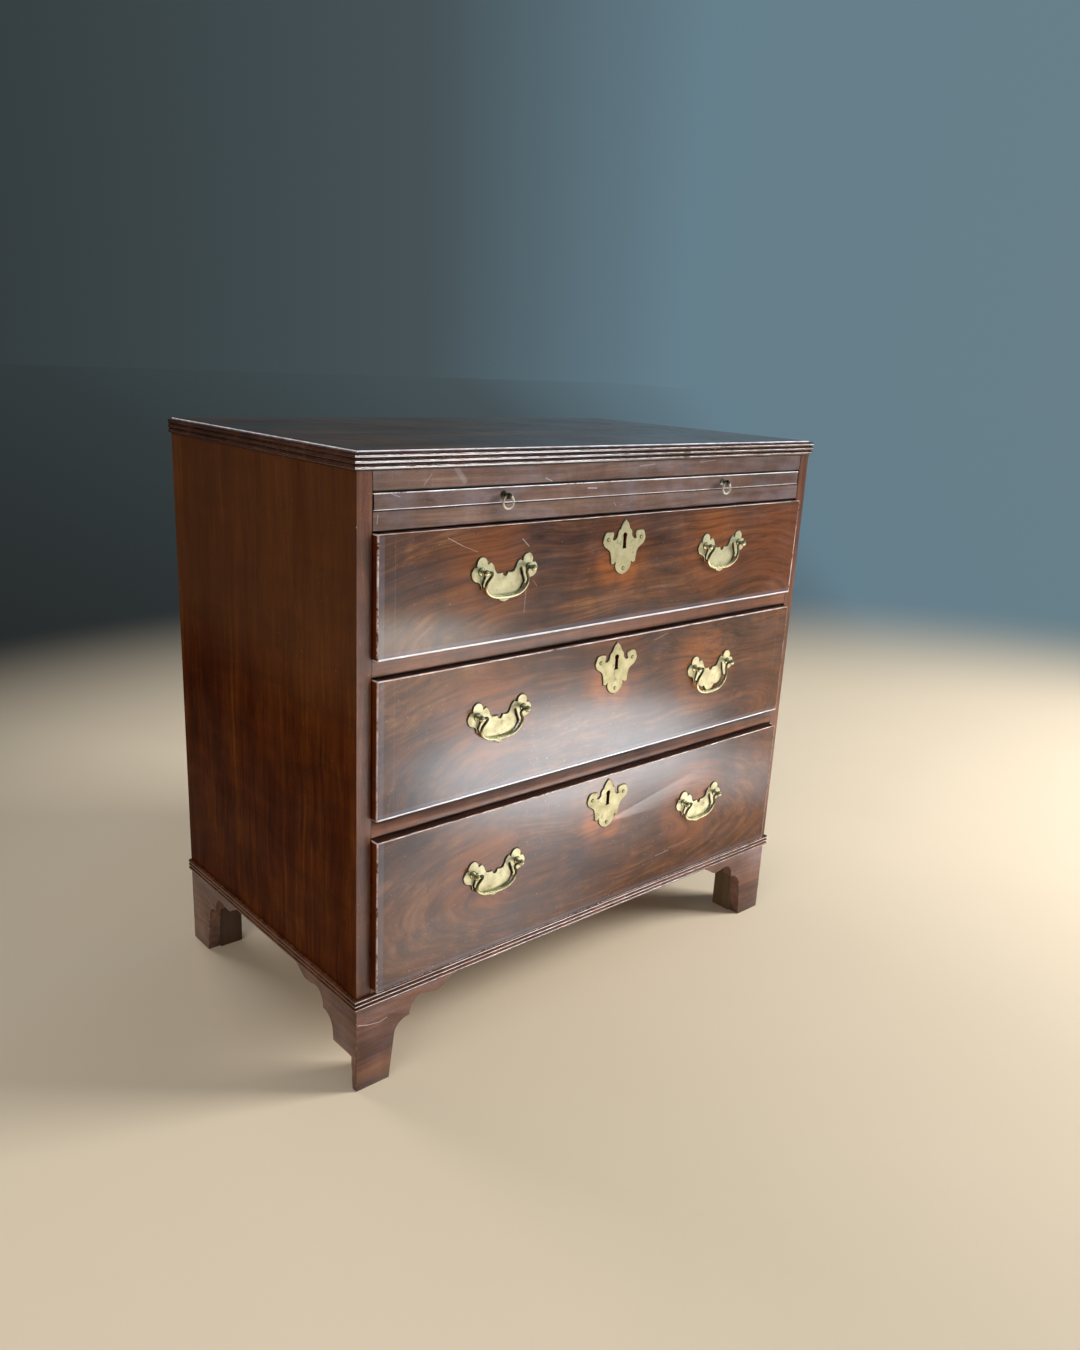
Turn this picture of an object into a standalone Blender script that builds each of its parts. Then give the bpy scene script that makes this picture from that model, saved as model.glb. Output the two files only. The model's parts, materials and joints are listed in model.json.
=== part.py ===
# Bachelors chest: a reeded top, a pull-out brushing slide and three graduated long drawers on bracket feet.
# Metres, +Z up, X along the front, which faces -Y. The origin is the bottom centre of the object's box.
import math
from collections import namedtuple

import bmesh
import bpy

# Clearances, and how far a cut runs past the face that it opens
GAP = 0.0003
OVERRUN = 0.002

# Case boards
CASE_WIDTH = 0.815
CASE_DEPTH = 0.474
SIDE_THICK = 0.0208
BOTTOM_THICK = 0.0215
TOP_THICK = 0.0205
TOP_SETBACK = 0.0012
BACK_THICK = 0.010
BACK_LAP = 0.011

# Rails across the front, and the stopped housings that hold them in the sides
RAIL_DEPTH = 0.060
TOP_RAIL_THICK = 0.023
SLIDE_RAIL_THICK = 0.0223
UPPER_DIVIDER_THICK = 0.0202
LOWER_DIVIDER_THICK = 0.024
HOUSING_DEPTH = 0.006
HOUSING_SETBACK = 0.012

# Runners, dustboards and drawer stops
RUNNER_WIDTH = 0.026
DUSTBOARD_THICK = 0.007
DUSTBOARD_TONGUE = 0.006
STOP_LENGTH = 0.032
STOP_DEPTH = 0.012
STOP_THICK = 0.005
STOP_SPREAD = 0.250

# Reeded mouldings round the top and the base
REED_COUNT = 3
REED_DEPTH = 0.0022
REED_STEPS = 5
TOP_MOULD_HEIGHT = 0.0188
TOP_MOULD_PROUD = 0.0041
BASE_MOULD_HEIGHT = 0.0172
BASE_MOULD_PROUD = 0.0046

# Bracket feet
FOOT_HEIGHT = 0.118
BRACKET_THICK = 0.018
BRACKET_LENGTH = 0.158
LEG_WIDTH = 0.049
LEG_SHOULDER_WIDTH = 0.0565
LEG_SHOULDER_DROP = 0.059
CUSP_REACH = 0.080
CUSP_DROP = 0.037
NOTCH_REACH = 0.098
NOTCH_DROP = 0.0135
WING_LOW_REACH = 0.125
WING_LOW_DROP = 0.0170
FOOT_CURVE_STEPS = 5
WING_CURVE_STEPS = 3
REAR_BRACKET_LENGTH = 0.100
REAR_BRACKET_FOOT = 0.055
REAR_BRACKET_EDGE = 0.040
BLOCK_WIDTH = 0.036
BLOCK_LENGTH = 0.036
BLOCK_LIFT = 0.0005
SPLIT_BLOCK_LENGTH = 0.021
SPLIT_DROP = 0.072
SPLIT_SLIVER = 0.0115

# Brushing slide and its ring pulls
SLIDE_HEIGHT = 0.0192
SLIDE_HEAD_GAP = 0.0019
SLIDE_SIDE_GAP = 0.0008
SLIDE_BACK_ROOM = 0.074
SLIDE_EDGE_DEPTH = 0.020
SLIDE_PANEL_THICK = 0.0145
SLIDE_TONGUE = 0.006
SLIDE_TONGUE_THICK = 0.005
PULL_SPREAD = 0.203
PULL_ROSE_R = 0.0052
PULL_ROSE_THICK = 0.0012
PULL_STEM_R = 0.0021
PULL_HEAD_R = 0.0042
PULL_REACH = 0.0095
PULL_SHANK_R = 0.0016
PULL_SHANK_LENGTH = 0.010
PULL_EYE_R = 0.0021
RING_R = 0.0080
RING_WIRE_R = 0.0012
RING_LIFT = 0.0005

# Drawers, numbered from the top; each stands a little proud of the case, as it was left
DRAWER_HEIGHTS = (0.1448, 0.1737, 0.2028)
DRAWER_PROUD = (0.0085, 0.0095, 0.0115)
DRAWER_REST_GAP = 0.0005
DRAWER_HEAD_GAP = 0.002
DRAWER_SIDE_GAP = 0.001
DRAWER_BACK_ROOM = 0.034
FRONT_THICK = 0.022
DRAWER_SIDE_THICK = 0.010
DRAWER_SIDE_DROP = 0.003
DRAWER_BACK_THICK = 0.010
DRAWER_BACK_DROP = 0.006
DRAWER_BACK_SETBACK = 0.004
DRAWER_BACK_HOUSING = 0.003
PANEL_THICK = 0.007
PANEL_LIFT = 0.007
PANEL_GROOVE = 0.005

# Dovetails between each front and its sides, which stay hidden while the drawers stand proud
TAIL_COVER = 0.001
TAIL_PITCH = 0.045
TAIL_PIN = 0.009
TAIL_FLARE = 0.0018

# Swan-neck handles: a backplate with two posts, and a bail between their heads
HANDLE_SPREAD = 0.204
HANDLE_RISE = 0.0185
PLATE_HALF = 0.0515
PLATE_DROP = 0.0403
PLATE_THICK = 0.0017
PLATE_LOBE_R = 0.0081
PLATE_LOBE_STEPS = 6
PLATE_STEPS = 2
POST_SPREAD = 0.0371
POST_REACH = 0.0112
POST_HEAD_R = 0.0042
POST_NECK_R = 0.0026
POST_COLLAR_R = 0.0046
POST_COLLAR_THICK = 0.0016
POST_SHANK_R = 0.0018
POST_SOCKET_R = 0.0017
NUT_R = 0.0048
NUT_THICK = 0.0032
SHANK_TIP = 0.0012
BAIL_DROP = 0.0335
LONG_BAIL_DROP = 0.0415
LONG_BAIL = (2, "right")
BAIL_PIN_R = 0.0013
BAIL_LIMB_R = 0.0016
BAIL_BELLY_R = 0.0023

# Escutcheons and locks
ESC_HALF = 0.0398
ESC_DROP = 0.0458
ESC_RISE = 0.0282
ESC_THICK = 0.0016
ESC_TOP_MARGIN = 0.0055
ESC_STEPS = 2
ESC_PIN_R = 0.0008
ESC_PIN_HEAD_R = 0.0019
ESC_PIN_HEAD_THICK = 0.0009
ESC_PIN_LENGTH = 0.006
KEYHOLE_R = 0.0039
KEYHOLE_HALF_HEIGHT = 0.0108
KEYHOLE_SLOT_HALF = 0.0030
KEYHOLE_STEPS = 8
LOCK_WIDTH = 0.062
LOCK_HEIGHT = 0.056
LOCK_THICK = 0.0095
LOCK_CHANNEL_DEPTH = 0.050
BOLT_WIDTH = 0.024
BOLT_HEIGHT = 0.020
BOLT_THICK = 0.004
BOLT_TRAVEL = 0.008
MORTISE_ROOM = 0.0006

# Faces round turned and bent work
TURNED_SIDES = 10
SMALL_SIDES = 8
RING_STEPS = 20
SMOOTH_ANGLE = math.radians(40)

# Half outline of a backplate: shares of PLATE_HALF across and PLATE_DROP up from the line of its posts
PLATE_CROWN_SHARES = (
    (0.0, -0.210), (0.040, -0.190), (0.062, -0.145), (0.085, -0.085),
)
PLATE_SHOULDER_SHARES = (
    (0.085, -0.085), (0.160, -0.100), (0.255, -0.085), (0.315, 0.030), (0.360, 0.165), (0.435, 0.255),
    (0.515, 0.215),
)
PLATE_LOBE_SHARE = (0.692, 0.2325)
PLATE_LOBE_ANGLES = (math.radians(185), math.radians(-25))
PLATE_EAR_SHARES = (
    (0.930, 0.135), (1.0, -0.020), (0.965, -0.200), (0.885, -0.295), (0.785, -0.335), (0.722, -0.410),
    (0.712, -0.545),
)
PLATE_BARB_SHARES = (
    (0.712, -0.545), (0.625, -0.505), (0.555, -0.550), (0.490, -0.660), (0.410, -0.755), (0.325, -0.805),
    (0.225, -0.780),
)
PLATE_APRON_SHARES = (
    (0.225, -0.780), (0.185, -0.850), (0.130, -0.945), (0.0, -1.0),
)

# Half outline of an escutcheon: shares of ESC_HALF and ESC_DROP from the middle of its keyhole
ESC_FINIAL_SHARES = (
    (0.070, 0.565), (0.148, 0.495), (0.205, 0.400), (0.220, 0.345), (0.283, 0.308),
)
ESC_SHOULDER_SHARES = (
    (0.283, 0.308), (0.333, 0.250), (0.350, 0.140), (0.390, 0.085), (0.475, 0.037), (0.560, 0.060),
)
ESC_CURL_SHARES = (
    (0.560, 0.060), (0.518, 0.197), (0.538, 0.253), (0.623, 0.271), (0.790, 0.280),
)
ESC_EAR_SHARES = (
    (0.790, 0.280), (0.900, 0.253), (0.963, 0.160), (1.0, 0.048), (0.975, -0.044), (0.900, -0.138),
    (0.730, -0.229), (0.645, -0.303), (0.603, -0.415),
)
ESC_BARB_SHARES = (
    (0.580, -0.545), (0.575, -0.650), (0.460, -0.675), (0.370, -0.615),
)
ESC_LOBE_SHARES = (
    (0.370, -0.615), (0.375, -0.710), (0.325, -0.823), (0.198, -0.935), (0.0, -1.0),
)
ESC_PIN_SHARES = (
    (-0.775, 0.060), (0.775, 0.060), (0.0, -0.815),
)

# Right half of a bail: shares of POST_SPREAD across and of its drop, and how far it has swollen there
BAIL_SHARES = (
    (0.860, 0.0), (0.800, 0.010), (0.740, -0.030), (0.735, -0.120), (0.790, -0.230), (0.865, -0.360),
    (0.885, -0.500), (0.850, -0.660), (0.740, -0.810), (0.550, -0.925), (0.300, -0.985), (0.0, -1.0),
)
BAIL_SWELL_SHARES = (0.0, 0.05, 0.15, 0.30, 0.40, 0.45, 0.50, 0.60, 0.70, 0.85, 0.95, 1.0)

# Heights on a ball head, as shares of its radius
HEAD_SHARES = (-0.88, -0.60, -0.20, 0.25, 0.65, 0.92)

# Finishes: colour, roughness, metallic
Finish = namedtuple("Finish", "name colour roughness metallic")
MAHOGANY = Finish("mahogany", (0.125, 0.042, 0.020, 1.0), 0.35, 0.0)
OAK = Finish("oak", (0.30, 0.19, 0.10, 1.0), 0.6, 0.0)
PINE = Finish("pine", (0.36, 0.22, 0.11, 1.0), 0.65, 0.0)
BRASS = Finish("brass", (0.62, 0.50, 0.26, 1.0), 0.35, 1.0)
IRON = Finish("iron", (0.12, 0.11, 0.10, 1.0), 0.5, 1.0)

# Places that follow from the sizes
FRONT_REACH = max(DRAWER_PROUD) + POST_REACH + POST_HEAD_R
FRONT_Y = (FRONT_REACH - CASE_DEPTH) / 2
BACK_Y = FRONT_Y + CASE_DEPTH
RAIL_BACK_Y = FRONT_Y + RAIL_DEPTH
INNER_BACK_Y = BACK_Y - BACK_THICK - GAP
SLIDE_DEPTH = CASE_DEPTH - SLIDE_BACK_ROOM
DRAWER_DEPTH = CASE_DEPTH - DRAWER_BACK_ROOM
TAIL_LAP = max(DRAWER_PROUD) + TAIL_COVER
BAIL_LEAN = POST_REACH - PLATE_THICK - BAIL_BELLY_R - 2 * GAP
HALF_WIDTH = CASE_WIDTH / 2
INNER_HALF = HALF_WIDTH - SIDE_THICK
FEET_TOP_Z = FOOT_HEIGHT - GAP
LEG_SHOULDER_Z = FOOT_HEIGHT - LEG_SHOULDER_DROP
CUSP_Z = FOOT_HEIGHT - CUSP_DROP
NOTCH_Z = FOOT_HEIGHT - NOTCH_DROP
WING_LOW_Z = FOOT_HEIGHT - WING_LOW_DROP
CASE_FLOOR_Z = FOOT_HEIGHT + BOTTOM_THICK

Span = namedtuple("Span", "low high")
Drawer = namedtuple("Drawer", "number floor low high face_y inner_y end_y")


def stack_case():
    """Stacks the rails and drawers up from the floor of the case."""
    rails, drawers = {}, {}
    floor = CASE_FLOOR_Z
    rail_above = {
        3: ("divider_lower", LOWER_DIVIDER_THICK),
        2: ("divider_upper", UPPER_DIVIDER_THICK),
        1: ("slide_rail", SLIDE_RAIL_THICK),
    }
    for number, (name, thick) in rail_above.items():
        low = floor + DRAWER_REST_GAP
        high = low + DRAWER_HEIGHTS[number - 1]
        face_y = FRONT_Y - DRAWER_PROUD[number - 1]
        inner_y, end_y = face_y + FRONT_THICK, face_y + DRAWER_DEPTH
        drawers[number] = Drawer(number, floor, low, high, face_y, inner_y, end_y)
        rails[name] = Span(high + DRAWER_HEAD_GAP, high + DRAWER_HEAD_GAP + thick)
        floor = rails[name].high
    rails["slide"] = Span(floor + GAP, floor + GAP + SLIDE_HEIGHT)
    low = rails["slide"].high + SLIDE_HEAD_GAP
    rails["top_rail"] = Span(low, low + TOP_RAIL_THICK)
    return rails, drawers


RAILS, DRAWERS = stack_case()
CASE_TOP_Z = RAILS["top_rail"].high
TOP_UNDER_Z = CASE_TOP_Z + GAP
TOP_Z = TOP_UNDER_Z + TOP_THICK
SLIDE_Z = (RAILS["slide"].low + RAILS["slide"].high) / 2


# Shells: each is a list of points and a list of faces that closes round one solid

def block(x_span, y_span, z_span):
    points = [(x, y, z) for z in z_span for y in y_span for x in x_span]
    faces = [(0, 2, 3, 1), (4, 5, 7, 6), (0, 1, 5, 4), (2, 6, 7, 3), (0, 4, 6, 2), (1, 3, 7, 5)]
    return points, faces


def ring_faces(rings, count, closed=False):
    """Faces between rings of equally many points, closed into a loop or capped at both ends."""
    faces = []
    for ring in range(rings if closed else rings - 1):
        here, there = ring * count, (ring + 1) % rings * count
        for i in range(count):
            j = (i + 1) % count
            faces.append((here + i, here + j, there + j, there + i))
    if not closed:
        faces.append(tuple(reversed(range(count))))
        faces.append(tuple(range((rings - 1) * count, rings * count)))
    return faces


def loft(rings):
    points = [point for ring in rings for point in ring]
    return points, ring_faces(len(rings), len(rings[0]))


def prism(outline, axis, low, high):
    """Carries a flat outline along X (its points are y, z), Y (x, z) or Z (x, y)."""
    rings = []
    for t in (low, high):
        if axis == "X":
            rings.append([(t, a, b) for a, b in outline])
        elif axis == "Y":
            rings.append([(a, t, b) for a, b in outline])
        else:
            rings.append([(a, b, t) for a, b in outline])
    return loft(rings)


def circle(radius, sides):
    """Points round a circle, with a flat side up."""
    angles = [2 * math.pi * (i + 1 / 2) / sides for i in range(sides)]
    return [(radius * math.cos(angle), radius * math.sin(angle)) for angle in angles]


def turned(profile, centre, sides=TURNED_SIDES):
    """Turns (distance forward of centre, radius) pairs about a line along Y."""
    x, y, z = centre
    rings = []
    for forward, radius in profile:
        rings.append([(x + a, y - forward, z + b) for a, b in circle(radius, sides)])
    return loft(rings)


def rod_x(x_span, y, z, radius, sides=TURNED_SIDES):
    """A straight rod along X."""
    return loft([[(x, y + a, z + b) for a, b in circle(radius, sides)] for x in x_span])


def smooth_curve(points, steps):
    """Points along a Catmull-Rom curve through the given ones."""
    padded = [points[0], *points, points[-1]]
    out = []
    for i in range(1, len(padded) - 2):
        for step in range(steps):
            t = step / steps
            value = []
            for a, b, c, d in zip(*padded[i - 1:i + 3]):
                slope = (c - a) * t
                square = (2 * a - 5 * b + 4 * c - d) * t ** 2
                cube = (3 * b - a - 3 * c + d) * t ** 3
                value.append(b + (slope + square + cube) / 2)
            out.append(tuple(value))
    return out + [tuple(points[-1])]


def arc(centre, radius_x, radius_z, start, end, steps):
    angles = [start + (end - start) * i / steps for i in range(steps + 1)]
    return [(centre[0] + radius_x * math.cos(a), centre[1] + radius_z * math.sin(a)) for a in angles]


def sized(shares, width, height):
    return [(x * width, z * height) for x, z in shares]


def mirrored(half):
    """A whole outline from its right half, which starts and ends on the centre line."""
    return half + [(-x, z) for x, z in reversed(half[1:-1])]


def moved(outline, x, z):
    return [(x + a, z + b) for a, b in outline]


def both_sides(low, high, side):
    """The X span between two distances from the middle, on the left (-1) or the right (1)."""
    return sorted((side * low, side * high))


# Objects

def finish_material(finish):
    material = bpy.data.materials.new(finish.name)
    material.use_nodes = True
    shader = material.node_tree.nodes["Principled BSDF"]
    shader.inputs["Base Color"].default_value = finish.colour
    shader.inputs["Roughness"].default_value = finish.roughness
    shader.inputs["Metallic"].default_value = finish.metallic
    return material


def body_frame(name, place):
    """An empty on a body's joint axis, which the body's pieces ride on."""
    frame = bpy.data.objects.new(name, None)
    frame.location = place
    bpy.context.scene.collection.objects.link(frame)
    return frame


def add_object(name, shell, frame, smooth):
    shape = bmesh.new()
    for points, faces in shell:
        corners = [shape.verts.new(point) for point in points]
        for face in faces:
            shape.faces.new([corners[i] for i in face])
    bmesh.ops.recalc_face_normals(shape, faces=shape.faces[:])
    mesh = bpy.data.meshes.new(name)
    shape.to_mesh(mesh)
    shape.free()
    if smooth:
        mesh.shade_smooth()
        mesh.set_sharp_from_angle(angle=SMOOTH_ANGLE)
    added = bpy.data.objects.new(name, mesh)
    bpy.context.scene.collection.objects.link(added)
    if frame:
        added.parent = frame
        added.location = -frame.location
    return added


def make(name, shell, finish, frame=None, smooth=False):
    piece = add_object(name, [shell], frame, smooth)
    piece.data.materials.append(finish_material(finish))
    return piece


def combine(piece, shells, operation):
    """Cuts shells out of a piece, or joins them to it. The shells don't touch each other."""
    helper = add_object(f"{piece.name}_{operation.lower()}", shells, piece.parent, operation == "UNION")
    helper.hide_render = True
    helper.display_type = "WIRE"
    step = piece.modifiers.new(operation.lower(), "BOOLEAN")
    step.operation = operation
    step.solver = "EXACT"
    step.object = helper


def carve(piece, *shells):
    combine(piece, shells, "DIFFERENCE")


def fuse(piece, *shells):
    combine(piece, shells, "UNION")


# Case

def housed_plan(back_y):
    """Plan of a board held in the sides' stopped housings."""
    held = INNER_HALF + HOUSING_DEPTH
    free = INNER_HALF - GAP
    step_y = FRONT_Y + HOUSING_SETBACK
    right = [(free, FRONT_Y), (free, step_y), (held, step_y), (held, back_y)]
    return right + [(-x, y) for x, y in reversed(right)]


def make_sides():
    front = FRONT_Y + HOUSING_SETBACK - GAP
    rebate = INNER_HALF + BACK_LAP + GAP
    for name, side in (("side_left", -1), ("side_right", 1)):
        plan = [
            (HALF_WIDTH, FRONT_Y), (INNER_HALF, FRONT_Y), (INNER_HALF, INNER_BACK_Y), (rebate, INNER_BACK_Y),
            (rebate, BACK_Y), (HALF_WIDTH, BACK_Y),
        ]
        board = make(name, prism([(side * x, y) for x, y in plan], "Z", FOOT_HEIGHT, CASE_TOP_Z), MAHOGANY)
        x_span = both_sides(INNER_HALF - OVERRUN, INNER_HALF + HOUSING_DEPTH + GAP, side)
        housings = []
        for rail in ("divider_lower", "divider_upper", "slide_rail"):
            z_span = (RAILS[rail].low - GAP, RAILS[rail].high + GAP)
            housings.append(block(x_span, (front, RAIL_BACK_Y + GAP), z_span))
        top_span = (RAILS["top_rail"].low - GAP, CASE_TOP_Z + OVERRUN)
        housings.append(block(x_span, (front, RAIL_BACK_Y + GAP), top_span))
        floor_span = (FOOT_HEIGHT - OVERRUN, CASE_FLOOR_Z + GAP)
        housings.append(block(x_span, (front, INNER_BACK_Y + OVERRUN), floor_span))
        carve(board, *housings)


def bolt_span_y(drawer, room=0.0):
    middle = drawer.inner_y - LOCK_THICK / 2
    return (middle - BOLT_THICK / 2 - room, middle + BOLT_THICK / 2 + room)


def bolt_mortise(drawer):
    """The slot in the rail above a drawer that its lock's bolt rises into."""
    half = BOLT_WIDTH / 2 + MORTISE_ROOM
    low = drawer.high + DRAWER_HEAD_GAP
    return block((-half, half), bolt_span_y(drawer, MORTISE_ROOM), (low - OVERRUN, low + BOLT_TRAVEL))


def drawer_stops(drawer):
    """Two blocks that the inside of a drawer's front comes up against."""
    y_span = (drawer.inner_y + GAP, drawer.inner_y + STOP_DEPTH)
    z_span = (drawer.floor - OVERRUN, drawer.floor + STOP_THICK)
    half = STOP_LENGTH / 2
    return [block((middle - half, middle + half), y_span, z_span) for middle in (-STOP_SPREAD, STOP_SPREAD)]


def dustboard_span(name):
    middle = (RAILS[name].low + RAILS[name].high) / 2
    return Span(middle - DUSTBOARD_THICK / 2, middle + DUSTBOARD_THICK / 2)


def make_dividers():
    """Each divider carries the stops of the drawer above it and holds the bolt of the drawer below it."""
    reach = INNER_HALF - RUNNER_WIDTH + GAP
    for name, below in (("divider_upper", 2), ("divider_lower", 3)):
        divider = make(name, prism(housed_plan(RAIL_BACK_Y), "Z", *RAILS[name]), MAHOGANY)
        board = dustboard_span(name)
        y_span = (RAIL_BACK_Y - DUSTBOARD_TONGUE - GAP, RAIL_BACK_Y + OVERRUN)
        groove = block((-reach, reach), y_span, (board.low - GAP, board.high + GAP))
        carve(divider, bolt_mortise(DRAWERS[below]), groove)
        fuse(divider, *drawer_stops(DRAWERS[below - 1]))


def make_dust_frames():
    """A dustboard with its two drawer runners, tongued into the back of the divider."""
    inner = INNER_HALF - RUNNER_WIDTH
    front, back = RAIL_BACK_Y + GAP, INNER_BACK_Y - GAP
    for name in ("upper", "lower"):
        divider = "divider_" + name
        board = block((-inner, inner), (RAIL_BACK_Y - DUSTBOARD_TONGUE, back), dustboard_span(divider))
        frame = make("dust_frame_" + name, board, OAK)
        runners = []
        for side in (-1, 1):
            x_span = both_sides(inner - OVERRUN, INNER_HALF - GAP, side)
            runners.append(block(x_span, (front, back), RAILS[divider]))
        fuse(frame, *runners)


def u_plan(front_y):
    """Plan of two arms along the sides of the case, joined by a cross rail at the back."""
    outer, inner = INNER_HALF - GAP, INNER_HALF - RUNNER_WIDTH
    back = INNER_BACK_Y - GAP
    right = [(outer, front_y), (outer, back)]
    inside = [(inner, front_y), (inner, back - RAIL_DEPTH)]
    return inside[::-1] + right + [(-x, y) for x, y in right[::-1] + inside]


def make_slide_rails():
    slide_rail = make("slide_rail", prism(housed_plan(RAIL_BACK_Y), "Z", *RAILS["slide_rail"]), MAHOGANY)
    carve(slide_rail, bolt_mortise(DRAWERS[1]))
    make("slide_bearers", prism(u_plan(RAIL_BACK_Y + GAP), "Z", *RAILS["slide_rail"]), OAK)
    # The kickers above the slide keep it level when it is drawn out; they are tenoned to the top rail
    top_rail = make("top_rail", prism(housed_plan(RAIL_BACK_Y), "Z", *RAILS["top_rail"]), MAHOGANY)
    fuse(top_rail, prism(u_plan(RAIL_BACK_Y - OVERRUN), "Z", *RAILS["top_rail"]))


def make_bottom_and_back():
    bottom = make("case_bottom", prism(housed_plan(INNER_BACK_Y), "Z", FOOT_HEIGHT, CASE_FLOOR_Z), PINE)
    fuse(bottom, *drawer_stops(DRAWERS[3]))
    reach = INNER_HALF + BACK_LAP
    make("back_panel", block((-reach, reach), (BACK_Y - BACK_THICK, BACK_Y), (FOOT_HEIGHT, CASE_TOP_Z)), PINE)


def reeded_surround(inner, outer, low, height):
    """A reeded moulding round the front and both sides, mitred at the front corners."""
    pitch = height / REED_COUNT
    section = [(inner, low + height), (inner, low)]
    for reed in range(REED_COUNT):
        middle = (outer - REED_DEPTH, low + (reed + 1 / 2) * pitch)
        round_reed = arc(middle, REED_DEPTH, pitch / 2, -math.pi / 2, math.pi / 2, REED_STEPS)
        section += round_reed if reed == REED_COUNT - 1 else round_reed[:-1]
    rings = []
    for side in (-1, 1):
        back = [(side * (HALF_WIDTH + d), BACK_Y, z) for d, z in section]
        corner = [(side * (HALF_WIDTH + d), FRONT_Y - d, z) for d, z in section]
        rings += [back, corner] if side == -1 else [corner, back]
    return loft(rings)


def make_top():
    reach = HALF_WIDTH - TOP_SETBACK
    make("top_board", block((-reach, reach), (FRONT_Y + TOP_SETBACK, BACK_Y), (TOP_UNDER_Z, TOP_Z)), MAHOGANY)
    reeds = reeded_surround(GAP - TOP_SETBACK, TOP_MOULD_PROUD, TOP_UNDER_Z, TOP_MOULD_HEIGHT)
    make("top_moulding", reeds, MAHOGANY)


def make_base_moulding():
    make("base_moulding", reeded_surround(GAP, BASE_MOULD_PROUD, FOOT_HEIGHT, BASE_MOULD_HEIGHT), MAHOGANY)


# Feet

def bracket_outline():
    """A bracket seen from its face, as (distance from the corner, height) pairs."""
    outline = [(0.0, 0.0), (LEG_WIDTH, 0.0)]
    shoulder = (CUSP_REACH, LEG_SHOULDER_Z)
    shoulder_size = (CUSP_REACH - LEG_SHOULDER_WIDTH, CUSP_Z - LEG_SHOULDER_Z)
    outline += arc(shoulder, *shoulder_size, math.pi, math.pi / 2, FOOT_CURVE_STEPS)
    notch = (NOTCH_REACH, CUSP_Z)
    notch_size = (NOTCH_REACH - CUSP_REACH, NOTCH_Z - CUSP_Z)
    outline += arc(notch, *notch_size, math.pi, math.pi / 2, FOOT_CURVE_STEPS)[1:]
    wing = [
        (NOTCH_REACH, NOTCH_Z), (WING_LOW_REACH, WING_LOW_Z),
        ((WING_LOW_REACH + BRACKET_LENGTH) / 2, (WING_LOW_Z + FEET_TOP_Z) / 2),
        (BRACKET_LENGTH, FEET_TOP_Z),
    ]
    return outline + smooth_curve(wing, WING_CURVE_STEPS)[1:] + [(0.0, FEET_TOP_Z)]


def rear_outline():
    """The plain bracket across the back of a rear foot."""
    inner = BRACKET_THICK / 2
    return [
        (inner, 0.0), (REAR_BRACKET_FOOT, 0.0), (REAR_BRACKET_FOOT, REAR_BRACKET_EDGE),
        (REAR_BRACKET_LENGTH, FEET_TOP_Z), (inner, FEET_TOP_Z),
    ]


def side_bracket(side, corner_y, inward):
    """A bracket under the side of the case; inward is 1 where it runs back from corner_y, -1 forward."""
    outline = [(corner_y + inward * reach, z) for reach, z in bracket_outline()]
    return prism(outline, "X", *both_sides(HALF_WIDTH, HALF_WIDTH - BRACKET_THICK, side))


def corner_block(side, corner_y, inward, length):
    """The glue block in the corner of two brackets."""
    x_span = both_sides(HALF_WIDTH - BRACKET_THICK / 2, HALF_WIDTH - BRACKET_THICK - BLOCK_WIDTH, side)
    y_span = sorted((corner_y + inward * BRACKET_THICK / 2, corner_y + inward * (BRACKET_THICK + length)))
    return block(x_span, y_span, (BLOCK_LIFT, FEET_TOP_Z - BLOCK_LIFT))


def make_front_foot(name, side, block_length):
    outline = [(side * (HALF_WIDTH - reach), z) for reach, z in bracket_outline()]
    foot = make(name, prism(outline, "Y", FRONT_Y, FRONT_Y + BRACKET_THICK), MAHOGANY)
    fuse(foot, side_bracket(side, FRONT_Y, 1))
    fuse(foot, corner_block(side, FRONT_Y, 1, block_length))
    return foot


def make_rear_foot(name, side):
    foot = make(name, side_bracket(side, BACK_Y, -1), MAHOGANY)
    outline = [(side * (HALF_WIDTH - reach), z) for reach, z in rear_outline()]
    fuse(foot, prism(outline, "Y", BACK_Y - BRACKET_THICK, BACK_Y))
    fuse(foot, corner_block(side, BACK_Y, -1, BLOCK_LENGTH))


def make_feet():
    # The lower part of the left front foot's side bracket is lost; only a sliver at the corner is left
    split = make_front_foot("foot_front_left", -1, SPLIT_BLOCK_LENGTH)
    x_span = both_sides(HALF_WIDTH + OVERRUN, HALF_WIDTH - BRACKET_THICK, -1)
    lost_y = (FRONT_Y + SPLIT_SLIVER, FRONT_Y + BRACKET_LENGTH)
    carve(split, block(x_span, lost_y, (-OVERRUN, FOOT_HEIGHT - SPLIT_DROP)))
    make_front_foot("foot_front_right", 1, BLOCK_LENGTH)
    make_rear_foot("foot_back_left", -1)
    make_rear_foot("foot_back_right", 1)


# Brushing slide

def head_profile(reach, radius, neck):
    """A ball head on its neck, as (distance forward, radius) pairs."""
    profile = [(reach + radius * s, max(neck, radius * math.sqrt(1 - s ** 2))) for s in HEAD_SHARES]
    return profile + [(reach + radius, radius * (1 - HEAD_SHARES[-1]))]


def pull_profile():
    """A ring pull's post, from the tip of its shank in the wood to its ball head."""
    return [
        (-PULL_SHANK_LENGTH, PULL_SHANK_R), (GAP, PULL_SHANK_R), (GAP, PULL_ROSE_R),
        (GAP + PULL_ROSE_THICK, PULL_ROSE_R - PULL_ROSE_THICK), (GAP + 2 * PULL_ROSE_THICK, PULL_STEM_R),
        *head_profile(PULL_REACH, PULL_HEAD_R, PULL_STEM_R),
    ]


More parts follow.
